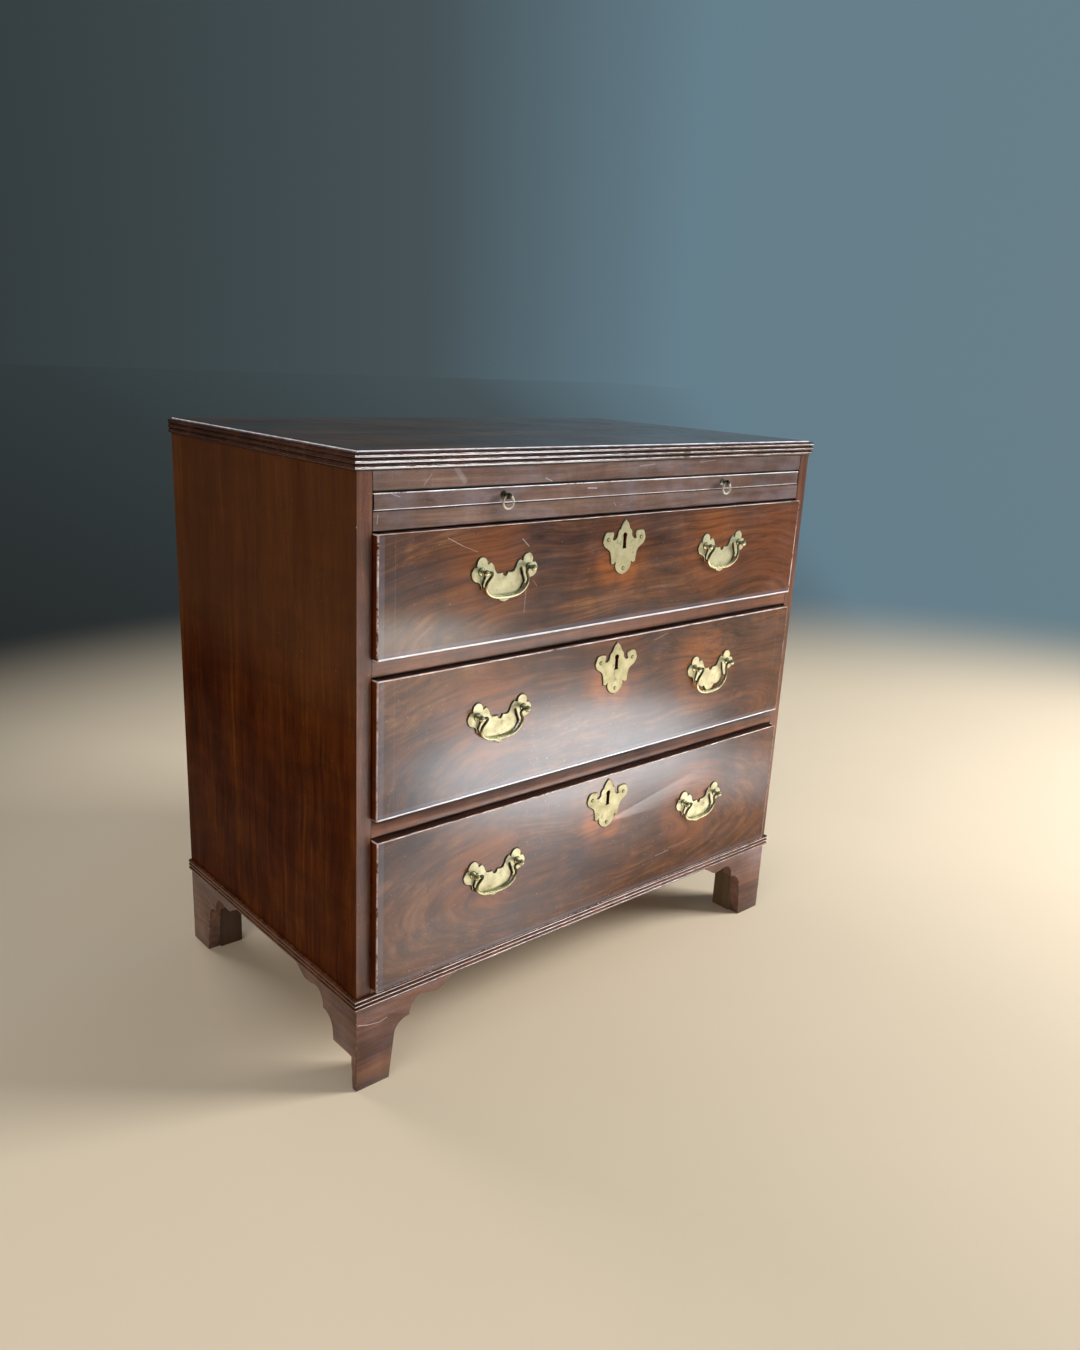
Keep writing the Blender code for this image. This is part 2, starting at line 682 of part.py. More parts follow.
def ring_shell(x, y, z):
    """A ring hanging in its eye, lifted so that its bend clears the bore."""
    middle = z + RING_LIFT - RING_R
    points = []
    for i in range(RING_STEPS):
        around = 2 * math.pi * i / RING_STEPS
        for out, fore in circle(RING_WIRE_R, SMALL_SIDES):
            radius = RING_R + out
            points.append((x + radius * math.sin(around), y + fore, middle + radius * math.cos(around)))
    return points, ring_faces(RING_STEPS, SMALL_SIDES, closed=True)


def slide_sections():
    """Sections of the slide's front edge and of its panel, which is tongued into that edge."""
    low, high = RAILS["slide"]
    back = FRONT_Y + SLIDE_EDGE_DEPTH
    tongue_low = low + (SLIDE_PANEL_THICK - SLIDE_TONGUE_THICK) / 2
    tongue_high = tongue_low + SLIDE_TONGUE_THICK
    tip = back - SLIDE_TONGUE
    edge = [
        (FRONT_Y, low), (back, low), (back, tongue_low - GAP), (tip - GAP, tongue_low - GAP),
        (tip - GAP, tongue_high + GAP), (back, tongue_high + GAP), (back, high), (FRONT_Y, high),
    ]
    start, end, top = back + GAP, FRONT_Y + SLIDE_DEPTH, low + SLIDE_PANEL_THICK
    panel = [
        (start, low), (end, low), (end, top), (start, top), (start, tongue_high), (tip, tongue_high),
        (tip, tongue_low), (start, tongue_low),
    ]
    return edge, panel


def make_slide():
    frame = body_frame("slide_frame", (0.0, FRONT_Y, SLIDE_Z))
    reach = INNER_HALF - SLIDE_SIDE_GAP
    edge_section, panel_section = slide_sections()
    edge = make("slide_edge", prism(edge_section, "X", -reach, reach), MAHOGANY, frame)
    make("slide_panel", prism(panel_section, "X", -reach, reach), OAK, frame)
    eye_y = FRONT_Y - PULL_REACH
    bores = []
    for name, x in (("left", -PULL_SPREAD), ("right", PULL_SPREAD)):
        centre = (x, FRONT_Y, SLIDE_Z)
        pull = make("slide_pull_" + name, turned(pull_profile(), centre), BRASS, frame, True)
        carve(pull, rod_x((x - PULL_ROSE_R, x + PULL_ROSE_R), eye_y, SLIDE_Z, PULL_EYE_R))
        ring_frame = body_frame(f"ring_{name}_frame", (x, eye_y, SLIDE_Z))
        make("ring_" + name, ring_shell(x, eye_y, SLIDE_Z), BRASS, ring_frame, True)
        bore = ((OVERRUN, PULL_SHANK_R + GAP), (-PULL_SHANK_LENGTH - GAP, PULL_SHANK_R + GAP))
        bores.append(turned(bore, centre, SMALL_SIDES))
    carve(edge, *bores)


# Drawers

def tails(drawer, back_y, tip_y, room):
    """The dovetails on a drawer side between two depths, grown by room: four (y, z) corners each."""
    high = drawer.high - DRAWER_SIDE_DROP
    count = round((high - drawer.low) / TAIL_PITCH)
    pitch = (high - drawer.low) / count
    slope = TAIL_FLARE / (FRONT_THICK - TAIL_LAP)
    root = (pitch - TAIL_PIN) / 2 - TAIL_FLARE + room
    at_back = root + slope * (drawer.inner_y - back_y)
    at_tip = root + slope * (drawer.inner_y - tip_y)
    out = []
    for i in range(count):
        middle = drawer.low + (i + 1 / 2) * pitch
        out.append([(back_y, middle - at_back), (tip_y, middle - at_tip), (tip_y, middle + at_tip),
                    (back_y, middle + at_back)])
    return out


def side_outline(drawer):
    """A drawer side seen from its face, with its tails towards the front."""
    shoulder = drawer.inner_y + GAP
    high = drawer.high - DRAWER_SIDE_DROP
    outline = [(drawer.end_y, high), (drawer.end_y, drawer.low), (shoulder, drawer.low)]
    for tail in tails(drawer, shoulder, drawer.face_y + TAIL_LAP + GAP, 0.0):
        outline += tail
    return outline + [(shoulder, high)]


def keyhole_outline():
    """A round head over a slot that widens to its foot."""
    head = KEYHOLE_HALF_HEIGHT - KEYHOLE_R
    foot = KEYHOLE_HALF_HEIGHT - KEYHOLE_SLOT_HALF
    lean = math.asin(KEYHOLE_SLOT_HALF / KEYHOLE_R)
    top = arc((0.0, head), KEYHOLE_R, KEYHOLE_R, lean - math.pi / 2, 3 * math.pi / 2 - lean, KEYHOLE_STEPS)
    return top + [
        (-KEYHOLE_SLOT_HALF, -foot), (-KEYHOLE_R, -KEYHOLE_HALF_HEIGHT), (KEYHOLE_R, -KEYHOLE_HALF_HEIGHT),
        (KEYHOLE_SLOT_HALF, -foot),
    ]


def keyhole_z(drawer):
    return drawer.high - ESC_TOP_MARGIN - ESC_RISE


def keyhole_cut(drawer, front_y, back_y):
    return prism(moved(keyhole_outline(), 0.0, keyhole_z(drawer)), "Y", front_y, back_y)


def handle_centre(drawer, side):
    return (side * HANDLE_SPREAD, drawer.face_y, (drawer.low + drawer.high) / 2 + HANDLE_RISE)


def post_centres(centre):
    x, y, z = centre
    return [(x - POST_SPREAD, y, z), (x + POST_SPREAD, y, z)]


def pin_centres(drawer):
    z = keyhole_z(drawer)
    return [(x, drawer.face_y, z + rise) for x, rise in sized(ESC_PIN_SHARES, ESC_HALF, ESC_DROP)]


def make_front(drawer, frame):
    reach = INNER_HALF - DRAWER_SIDE_GAP
    slab = block((-reach, reach), (drawer.face_y, drawer.inner_y), (drawer.low, drawer.high))
    front = make(f"drawer_{drawer.number}_front", slab, MAHOGANY, frame)
    open_y = drawer.inner_y + OVERRUN
    sockets = []
    for outline in tails(drawer, open_y, drawer.face_y + TAIL_LAP, GAP):
        for side in (-1, 1):
            x_span = both_sides(reach - DRAWER_SIDE_THICK - GAP, reach + OVERRUN, side)
            sockets.append(prism(outline, "X", *x_span))
    carve(front, *sockets)
    groove_reach = reach - DRAWER_SIDE_THICK + PANEL_GROOVE
    low = drawer.low + PANEL_LIFT
    groove_y = (drawer.inner_y - PANEL_GROOVE - GAP, open_y)
    cuts = [block((-groove_reach, groove_reach), groove_y, (low - GAP, low + PANEL_THICK + GAP))]
    half = LOCK_WIDTH / 2 + GAP
    recess_z = (drawer.high - LOCK_HEIGHT - GAP, drawer.high + OVERRUN)
    cuts.append(block((-half, half), (drawer.inner_y - LOCK_THICK - GAP, open_y), recess_z))
    through = ((OVERRUN, POST_SHANK_R + GAP), (-FRONT_THICK - OVERRUN, POST_SHANK_R + GAP))
    for side in (-1, 1):
        cuts += [turned(through, post, SMALL_SIDES) for post in post_centres(handle_centre(drawer, side))]
    blind = ((OVERRUN, ESC_PIN_R + GAP), (-ESC_PIN_LENGTH - GAP, ESC_PIN_R + GAP))
    cuts += [turned(blind, pin, SMALL_SIDES) for pin in pin_centres(drawer)]
    carve(front, *cuts)
    carve(front, keyhole_cut(drawer, drawer.face_y - OVERRUN, drawer.inner_y - LOCK_THICK / 2))


def make_box(drawer, frame):
    """The two sides, the back and the bottom panel of a drawer."""
    name = f"drawer_{drawer.number}_"
    reach = INNER_HALF - DRAWER_SIDE_GAP
    inner = reach - DRAWER_SIDE_THICK
    panel = Span(drawer.low + PANEL_LIFT, drawer.low + PANEL_LIFT + PANEL_THICK)
    back_z = (panel.high + GAP, drawer.high - DRAWER_SIDE_DROP - DRAWER_BACK_DROP)
    back_end = drawer.end_y - DRAWER_BACK_SETBACK
    back_y = (back_end - DRAWER_BACK_THICK, back_end)
    for label, side in (("side_left", -1), ("side_right", 1)):
        side_board = prism(side_outline(drawer), "X", *both_sides(inner, reach, side))
        board = make(name + label, side_board, OAK, frame)
        groove_x = both_sides(inner - OVERRUN, inner + PANEL_GROOVE, side)
        groove = block(groove_x, (drawer.face_y, drawer.end_y + OVERRUN), (panel.low - GAP, panel.high + GAP))
        carve(board, groove)
        housing_x = both_sides(inner - OVERRUN, inner + DRAWER_BACK_HOUSING, side)
        housing_y = (back_y[0] - GAP, back_y[1] + GAP)
        carve(board, block(housing_x, housing_y, (panel.low, drawer.high + OVERRUN)))
    back_reach = inner + DRAWER_BACK_HOUSING - GAP
    make(name + "back", block((-back_reach, back_reach), back_y, back_z), OAK, frame)
    panel_reach = inner + PANEL_GROOVE - GAP
    panel_y = (drawer.inner_y - PANEL_GROOVE, drawer.end_y)
    make(name + "bottom", block((-panel_reach, panel_reach), panel_y, panel), OAK, frame)


def make_lock(drawer, frame):
    name = f"drawer_{drawer.number}_"
    front, back = drawer.inner_y - LOCK_THICK, drawer.inner_y
    case = block((-LOCK_WIDTH / 2, LOCK_WIDTH / 2), (front, back), (drawer.high - LOCK_HEIGHT, drawer.high))
    lock = make(name + "lock", case, IRON, frame)
    room = BOLT_WIDTH / 2 + GAP
    channel_z = (drawer.high - LOCK_CHANNEL_DEPTH, drawer.high + OVERRUN)
    carve(lock, block((-room, room), bolt_span_y(drawer, GAP), channel_z))
    carve(lock, keyhole_cut(drawer, front - OVERRUN, (front + back) / 2))
    bolt_frame = body_frame(name + "bolt_frame", (0.0, (front + back) / 2, drawer.high))
    bolt_z = (drawer.high - BOLT_HEIGHT, drawer.high)
    bolt = block((-BOLT_WIDTH / 2, BOLT_WIDTH / 2), bolt_span_y(drawer), bolt_z)
    make(name + "bolt", bolt, IRON, bolt_frame)


def escutcheon_outline():
    half = [(0.0, ESC_RISE), *sized(ESC_FINIAL_SHARES, ESC_HALF, ESC_DROP)]
    for shares in (ESC_SHOULDER_SHARES, ESC_CURL_SHARES, ESC_EAR_SHARES):
        half += smooth_curve(sized(shares, ESC_HALF, ESC_DROP), ESC_STEPS)[1:]
    half += sized(ESC_BARB_SHARES, ESC_HALF, ESC_DROP)
    half += smooth_curve(sized(ESC_LOBE_SHARES, ESC_HALF, ESC_DROP), ESC_STEPS)[1:]
    return mirrored(half)


def make_escutcheon(drawer, frame):
    """The escutcheon, with the three pins that nail it on."""
    back = drawer.face_y - GAP
    outline = moved(escutcheon_outline(), 0.0, keyhole_z(drawer))
    name = f"drawer_{drawer.number}_escutcheon"
    plate = make(name, prism(outline, "Y", back - ESC_THICK, back), BRASS, frame)
    carve(plate, keyhole_cut(drawer, back - ESC_THICK - OVERRUN, back + OVERRUN))
    under_head = GAP + ESC_THICK / 2
    profile = [
        (-ESC_PIN_LENGTH, ESC_PIN_R), (under_head, ESC_PIN_R), (under_head, ESC_PIN_HEAD_R),
        (GAP + ESC_THICK, ESC_PIN_HEAD_R), (GAP + ESC_THICK + ESC_PIN_HEAD_THICK, ESC_PIN_R),
    ]
    fuse(plate, *[turned(profile, pin, SMALL_SIDES) for pin in pin_centres(drawer)])


def plate_outline():
    """A backplate's outline about the middle of the line between its posts."""
    lobe_x, lobe_z = PLATE_LOBE_SHARE
    lobe = (lobe_x * PLATE_HALF, lobe_z * PLATE_DROP)
    half = sized(PLATE_CROWN_SHARES, PLATE_HALF, PLATE_DROP)
    half += smooth_curve(sized(PLATE_SHOULDER_SHARES, PLATE_HALF, PLATE_DROP), PLATE_STEPS)[1:]
    half += arc(lobe, PLATE_LOBE_R, PLATE_LOBE_R, *PLATE_LOBE_ANGLES, PLATE_LOBE_STEPS)
    half += smooth_curve(sized(PLATE_EAR_SHARES, PLATE_HALF, PLATE_DROP), PLATE_STEPS)
    for shares in (PLATE_BARB_SHARES, PLATE_APRON_SHARES):
        half += smooth_curve(sized(shares, PLATE_HALF, PLATE_DROP), PLATE_STEPS)[1:]
    return mirrored(half)


def post_profile():
    """A handle's post with its nut, from the tip of its shank inside the drawer to its ball head."""
    nut_front = FRONT_THICK + GAP
    nut_back = nut_front + NUT_THICK
    plate_front = GAP + PLATE_THICK
    under_collar = plate_front - PLATE_THICK / 2
    return [
        (-nut_back - SHANK_TIP, POST_SHANK_R), (-nut_back, POST_SHANK_R), (-nut_back, NUT_R),
        (-nut_front, NUT_R), (-nut_front, POST_SHANK_R),
        (under_collar, POST_SHANK_R), (under_collar, POST_COLLAR_R),
        (plate_front + POST_COLLAR_THICK / 2, POST_COLLAR_R), (plate_front + POST_COLLAR_THICK, POST_NECK_R),
        *head_profile(POST_REACH, POST_HEAD_R, POST_NECK_R),
    ]


def make_handle_mount(drawer, frame, name, centre):
    """A backplate with its two posts, whose heads have a socket each for the bail's pins."""
    x, y, z = centre
    back = y - GAP
    plate = make(name, prism(moved(plate_outline(), x, z), "Y", back - PLATE_THICK, back), BRASS, frame)
    posts = post_centres(centre)
    fuse(plate, *[turned(post_profile(), post) for post in posts])
    sockets = []
    for post_x, post_y, post_z in posts:
        span = sorted((post_x, post_x + math.copysign(POST_HEAD_R + OVERRUN, x - post_x)))
        sockets.append(rod_x(span, post_y - POST_REACH, post_z, POST_SOCKET_R, SMALL_SIDES))
    carve(plate, *sockets)


def bail_shell(centre, drop):
    """A swan-neck bail: pins in the posts, an inward crook, and a swelling belly that lies near the plate."""
    x, y, z = centre
    path, radii = [(POST_SPREAD - GAP, 0.0)], [BAIL_PIN_R]
    for (across, down), swell in zip(BAIL_SHARES, BAIL_SWELL_SHARES):
        path.append((across * POST_SPREAD, down * drop))
        radii.append(BAIL_LIMB_R + (BAIL_BELLY_R - BAIL_LIMB_R) * swell)
    path += [(-a, b) for a, b in reversed(path[:-1])]
    radii += reversed(radii[:-1])
    rings = []
    for i, ((a, b), radius) in enumerate(zip(path, radii)):
        before, after = path[max(i - 1, 0)], path[min(i + 1, len(path) - 1)]
        run, climb = after[0] - before[0], after[1] - before[1]
        length = math.hypot(run, climb)
        middle_y = y - POST_REACH + BAIL_LEAN * math.sin(math.pi / 2 * max(0.0, -b / drop))
        ring = []
        for out, fore in circle(radius, SMALL_SIDES):
            ring.append((x + a - out * climb / length, middle_y + fore, z + b + out * run / length))
        rings.append(ring)
    return loft(rings)


def make_handles(drawer, frame):
    for label, side in (("left", -1), ("right", 1)):
        centre = handle_centre(drawer, side)
        make_handle_mount(drawer, frame, f"drawer_{drawer.number}_handle_{label}", centre)
        x, y, z = centre
        name = f"drawer_{drawer.number}_bail_{label}"
        bail_frame = body_frame(name + "_frame", (x, y - POST_REACH, z))
        drop = LONG_BAIL_DROP if (drawer.number, label) == LONG_BAIL else BAIL_DROP
        make(name, bail_shell(centre, drop), BRASS, bail_frame, True)


def make_drawer(drawer):
    frame = body_frame(f"drawer_{drawer.number}_frame", (0.0, drawer.face_y, drawer.low))
    make_front(drawer, frame)
    make_box(drawer, frame)
    make_lock(drawer, frame)
    make_escutcheon(drawer, frame)
    make_handles(drawer, frame)


def make_case():
    make_top()
    make_sides()
    make_dividers()
    make_dust_frames()
    make_slide_rails()
    make_bottom_and_back()
    make_base_moulding()
    make_feet()


for old in list(bpy.data.objects):
    bpy.data.objects.remove(old)
make_case()
make_slide()
for numbered_drawer in DRAWERS.values():
    make_drawer(numbered_drawer)
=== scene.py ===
import json
import math

import bmesh
import bpy
from mathutils import Matrix, Vector, noise


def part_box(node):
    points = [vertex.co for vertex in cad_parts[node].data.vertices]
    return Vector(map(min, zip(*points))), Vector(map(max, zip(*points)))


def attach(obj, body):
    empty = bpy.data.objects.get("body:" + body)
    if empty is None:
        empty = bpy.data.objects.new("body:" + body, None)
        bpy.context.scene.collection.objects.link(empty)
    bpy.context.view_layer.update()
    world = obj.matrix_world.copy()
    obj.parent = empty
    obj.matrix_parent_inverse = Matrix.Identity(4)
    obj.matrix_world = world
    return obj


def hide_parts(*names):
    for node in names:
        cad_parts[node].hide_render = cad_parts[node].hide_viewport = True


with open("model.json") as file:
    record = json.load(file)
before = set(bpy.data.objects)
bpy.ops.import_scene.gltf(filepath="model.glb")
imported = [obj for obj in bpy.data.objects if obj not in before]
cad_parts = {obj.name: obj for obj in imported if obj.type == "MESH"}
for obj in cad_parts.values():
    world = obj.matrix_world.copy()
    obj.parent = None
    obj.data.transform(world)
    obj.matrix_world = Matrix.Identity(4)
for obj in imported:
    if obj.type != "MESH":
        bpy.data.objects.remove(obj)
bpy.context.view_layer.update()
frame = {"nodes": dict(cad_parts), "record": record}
NODES = frame["nodes"]
BODY_OF = {node: body for body, nodes in frame["record"]["behaviour"]["bodies"].items() for node in nodes}
PIVOTS = {joint["name"]: Vector(joint["pos_m"]) for joint in frame["record"]["behaviour"]["joints"]
          if "pos_m" in joint}


# The case's planes
HALF_WIDTH, FRONT_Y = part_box("side_right")[1].x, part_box("side_right")[0].y
INNER_HALF, BACK_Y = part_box("side_right")[0].x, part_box("side_right")[1].y
FEET_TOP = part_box("foot_front_right")[1].z
DRAWERS = (1, 2, 3)
SIDES = {"left": -1, "right": 1}
GAP = 0.0003

# Camera, fitted to the photograph's corners, in pixels of its 1080 x 1350 frame
FRAME_WIDTH = 1080
FRAME_HEIGHT = 1350
FOCAL_PIXELS = 1075.3
SENSOR = 36.0
CAMERA_PLACE = Vector((-1.0284, -1.2175, 0.9063))
CAMERA_FORWARD = Vector((0.64283, 0.71112, -0.28473))
CAMERA_RIGHT = Vector((0.75061, -0.65892, 0.04897))
CAMERA_UP = CAMERA_RIGHT.cross(CAMERA_FORWARD).normalized()

# Feet, as in the frame: distances from the corner, and drops from the case
BRACKET_THICK = 0.018
BRACKET_LENGTH = 0.158
LEG_WIDTH = 0.049
LEG_SHOULDER = (0.0565, 0.059)
CUSP = (0.080, 0.037)
NOTCH = (0.098, 0.0135)
WING_LOW = (0.125, 0.0170)
BLOCK_WIDTH = 0.036
BLOCK_LENGTH = 0.036
SPLIT_BLOCK_LENGTH = 0.021
SPLIT_DROP = 0.072
SPLIT_SLIVER = 0.0115
REAR_FOOT = 0.055
REAR_EDGE = 0.040
REAR_LENGTH = 0.100

# Rounding of the arrises
RAIL_ARRIS = 0.0006
SLIDE_ARRIS = 0.0011
TOP_ARRIS = 0.0012
DRAWER_ARRIS = 0.0015
BRACKET_ARRIS = 0.0008
BLOCK_ARRIS = 0.0012

# Mouldings: reeds, steps of a reed's arc and of the run, and dents
REEDS = 3
REED_DEPTH = 0.0024
REED_STEPS = 9
CROWN_STEP = 4
CROWN_ANGLE = 0.16
SIDE_STATIONS = 40
FRONT_STATIONS = 60
DENT = 0.00012
DENT_SCALE = 45.0
TOP_LET_IN = 0.0009
BACK_BOARD = 0.165

# Brass, as in the frame
PLATE_HALF = 0.0515
PLATE_DROP = 0.0403
PLATE_THICK = 0.0017
PLATE_LOBE_R = 0.0081
CHAMFER = 0.0006
# Width of a plate's dark back rim: dirty, with a painted contact shadow
SOIL_AND_SHADOW_WIDTH = 0.0009
POST_SPREAD = 0.0371
POST_REACH = 0.0112
POST_HEAD_R = 0.0042
POST_NECK_R = 0.0026
POST_COLLAR_R = 0.0046
POST_SHANK_R = 0.0018
FRONT_THICK = 0.022
NUT_R = 0.0047
NUT_THICK = 0.0032
NUT_EDGE = 0.0005
SHANK_END = 0.0012
BAIL_DROP = 0.0335
LONG_BAIL_DROP = 0.0415
LONG_BAIL = (2, "right")
BAIL_PIN_R = 0.0013
BAIL_LIMB_R = 0.0016
BAIL_BELLY_R = 0.0023
BAIL_LEAN = POST_REACH - PLATE_THICK - BAIL_BELLY_R - 2 * GAP
ESC_HALF = 0.0398
ESC_DROP = 0.0458
ESC_RISE = 0.0282
ESC_THICK = 0.0016
ESC_TOP_MARGIN = 0.0055
KEYHOLE_R = 0.0039
KEYHOLE_HALF_HEIGHT = 0.0108
KEYHOLE_SLOT_HALF = 0.0030
PIN_HEAD_R = 0.0019
PIN_HEAD_THICK = 0.0009
RING_R = 0.0080
RING_WIRE_R = 0.0012
RING_LIFT = 0.0005
BAIL_SIDES, RING_SIDES, RING_STEPS = 16, 14, 48

# Half outlines, as shares of the half width and of the drop
PLATE_CROWN_SHARES = ((0.0, -0.210), (0.022, -0.204), (0.040, -0.190), (0.062, -0.145), (0.085, -0.085))
PLATE_SHOULDER_SHARES = (
    (0.085, -0.085), (0.160, -0.100), (0.255, -0.085), (0.315, 0.030), (0.360, 0.165), (0.435, 0.255),
    (0.515, 0.215),
)
PLATE_LOBE_SHARE = (0.692, 0.2325)
PLATE_EAR_SHARES = (
    (0.930, 0.135), (1.0, -0.020), (0.965, -0.200), (0.885, -0.295), (0.785, -0.335), (0.722, -0.410),
    (0.712, -0.545),
)
PLATE_BARB_SHARES = (
    (0.712, -0.545), (0.625, -0.505), (0.555, -0.550), (0.490, -0.660), (0.410, -0.755), (0.325, -0.805),
    (0.225, -0.780),
)
PLATE_APRON_SHARES = ((0.225, -0.780), (0.185, -0.850), (0.130, -0.945), (0.0, -1.0))
ESC_FINIAL_SHARES = ((0.070, 0.565), (0.148, 0.495), (0.205, 0.400), (0.220, 0.345), (0.283, 0.308))
ESC_SHOULDER_SHARES = (
    (0.283, 0.308), (0.333, 0.250), (0.350, 0.140), (0.390, 0.085), (0.475, 0.037), (0.560, 0.060),
)
ESC_CURL_SHARES = ((0.560, 0.060), (0.518, 0.197), (0.538, 0.253), (0.623, 0.271), (0.790, 0.280))
ESC_EAR_SHARES = (
    (0.790, 0.280), (0.900, 0.253), (0.963, 0.160), (1.0, 0.048), (0.975, -0.044), (0.900, -0.138),
    (0.730, -0.229), (0.645, -0.303), (0.603, -0.415),
)
ESC_BARB_SHARES = ((0.580, -0.545), (0.575, -0.650), (0.460, -0.675), (0.370, -0.615))
ESC_LOBE_SHARES = ((0.370, -0.615), (0.375, -0.710), (0.325, -0.823), (0.198, -0.935), (0.0, -1.0))
ESC_PIN_SHARES = ((-0.775, 0.060), (0.775, 0.060), (0.0, -0.815))
BAIL_SHARES = (
    (0.860, 0.0), (0.800, 0.010), (0.740, -0.030), (0.735, -0.120), (0.790, -0.230), (0.865, -0.360),
    (0.885, -0.500), (0.850, -0.660), (0.740, -0.810), (0.550, -0.925), (0.300, -0.985), (0.0, -1.0),
)
BAIL_SWELL_SHARES = (0.0, 0.05, 0.15, 0.30, 0.40, 0.45, 0.50, 0.60, 0.70, 0.85, 0.95, 1.0)


# Shapes

def smooth_curve(points, steps):
    """Points along a Catmull-Rom curve through the given ones."""
    padded = [points[0], *points, points[-1]]
    out = []
    for i in range(1, len(padded) - 2):
        for step in range(steps):
            t = step / steps
            value = []
            for a, b, c, d in zip(*padded[i - 1:i + 3]):
                slope = (c - a) * t
                square = (2 * a - 5 * b + 4 * c - d) * t ** 2
                cube = (3 * b - a - 3 * c + d) * t ** 3
                value.append(b + (slope + square + cube) / 2)
            out.append(tuple(value))
    return out + [tuple(points[-1])]


def arc(centre, radius_x, radius_z, start, end, steps):
    angles = [start + (end - start) * i / steps for i in range(steps + 1)]
    return [(centre[0] + radius_x * math.cos(a), centre[1] + radius_z * math.sin(a)) for a in angles]


def sized(shares, width, height):
    return [(x * width, z * height) for x, z in shares]


def mirrored(half):
    """A closed outline from its right half, which starts and ends on the middle line."""
    return half + [(-x, z) for x, z in reversed(half[1:-1])]


def cleaned(outline, least=1e-5):
    """The outline without repeated points."""
    kept = []
    for point in outline:
        if not kept or math.dist(kept[-1], point) > least:
            kept.append(point)
    return kept if math.dist(kept[0], kept[-1]) > least else kept[:-1]


def inset(outline, distance):
    """The outline moved inward all round; a negative distance moves it outward."""
    turn = sum(a[0] * b[1] - b[0] * a[1] for a, b in zip(outline, outline[1:] + outline[:1]))
    hand = 1 if turn > 0 else -1
    out = []
    for i, (x, z) in enumerate(outline):
        before, after = Vector(outline[i - 1]), Vector(outline[(i + 1) % len(outline)])
        here = Vector((x, z))
        arrive, leave = (here - before).normalized(), (after - here).normalized()
        normals = [Vector((-v.y, v.x)) * hand for v in (arrive, leave)]
        both = normals[0] + normals[1]
        if both.length < 0.3:
            out.append((x, z))
            continue
        both.normalize()
        step = distance / max(both.dot(normals[0]), 0.6)
        out.append((x + both.x * step, z + both.y * step))
    return out


def add_rings(shape, rings, closed=False, caps=True, material=0):
    """Faces round rings of equally many points, in a loop or capped."""
    made = [[shape.verts.new(p) for p in ring] for ring in rings]
    count = len(made[0])
    faces = []
    for i in range(len(made) if closed else len(made) - 1):
        here, there = made[i], made[(i + 1) % len(made)]
        for k in range(count):
            faces.append(shape.faces.new((here[k], here[(k + 1) % count], there[(k + 1) % count], there[k])))
    if caps and not closed:
        faces.append(shape.faces.new(list(reversed(made[0]))))
        faces.append(shape.faces.new(made[-1]))
    for face in faces:
        face.material_index = material
    return made


def round_angles(count):
    return [math.tau * i / count for i in range(count)]


def lathe(shape, centre, profile, sides=28, material=0):
    """Turns (distance forward of centre, radius) pairs about a line along -Y."""
    x, y, z = centre
    angles = round_angles(sides)
    rings = [[(x + r * math.cos(a), y - forward, z + r * math.sin(a)) for a in angles]
             for forward, r in profile]
    add_rings(shape, rings, material=material)


def ball(reach, radius, neck, steps=9):
    """A ball head on its neck, as (distance forward, radius) pairs."""
    start = math.asin(min(1.0, neck / radius))
    angles = [start + (math.pi - 0.08 - start) * i / steps for i in range(steps + 1)]
    return [(reach - radius * math.cos(a), radius * math.sin(a)) for a in angles]


def object_from(shape, name, materials, smooth=None):
    """A mesh object. Its edges stay sharp past an angle of smooth degrees."""
    bmesh.ops.recalc_face_normals(shape, faces=shape.faces[:])
    mesh = bpy.data.meshes.new(name)
    shape.to_mesh(mesh)
    shape.free()
    for material in materials:
        mesh.materials.append(material)
    if smooth is not None:
        mesh.shade_smooth()
        mesh.set_sharp_from_angle(angle=math.radians(smooth))
    made = bpy.data.objects.new(name, mesh)
    bpy.context.scene.collection.objects.link(made)
    return made


def rounded(shape, edges, width, segments, **more):
    bmesh.ops.bevel(shape, geom=edges, offset=width, segments=segments, profile=0.5, affect="EDGES", **more)


def stand_for(piece, node, slot):
    """Lets a piece take a CAD node's place, on that node's body, among the polished or the metal pieces by
    its slot.
    """
    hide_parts(node)
    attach(piece, BODY_OF[node])
    (METAL if slot == "brass" else POLISHED).objects.link(piece)
    return piece


# Materials

SCUFF = (0.42, 0.33, 0.30)
# Painted reflection: a bluish-grey cast put into polished wood's colour where a sheen shows
PAINTED_HAZE = (0.30, 0.28, 0.34)
# Painted sheen along the drawer fronts' left and lower edges
LEFT_PAINTED_SHEEN = (0.15, 0.14, 0.18)
LOW_PAINTED_SHEEN = (0.12, 0.12, 0.17)
# Tone that polished wood darkens to towards one end
DARKER_TONE = (0.016, 0.007, 0.004)
# Painted shadow in the slits and gaps beside boards
SLIT_SHADOW = (0.004, 0.002, 0.001)
OLD_POLISH = (0.080, 0.027, 0.013)
STAIN = (0.12, 0.080, 0.028)
CREVICE = (0.045, 0.030, 0.012)
DUST = (0.085, 0.055, 0.034)
SEAM = (0.016, 0.010, 0.006)


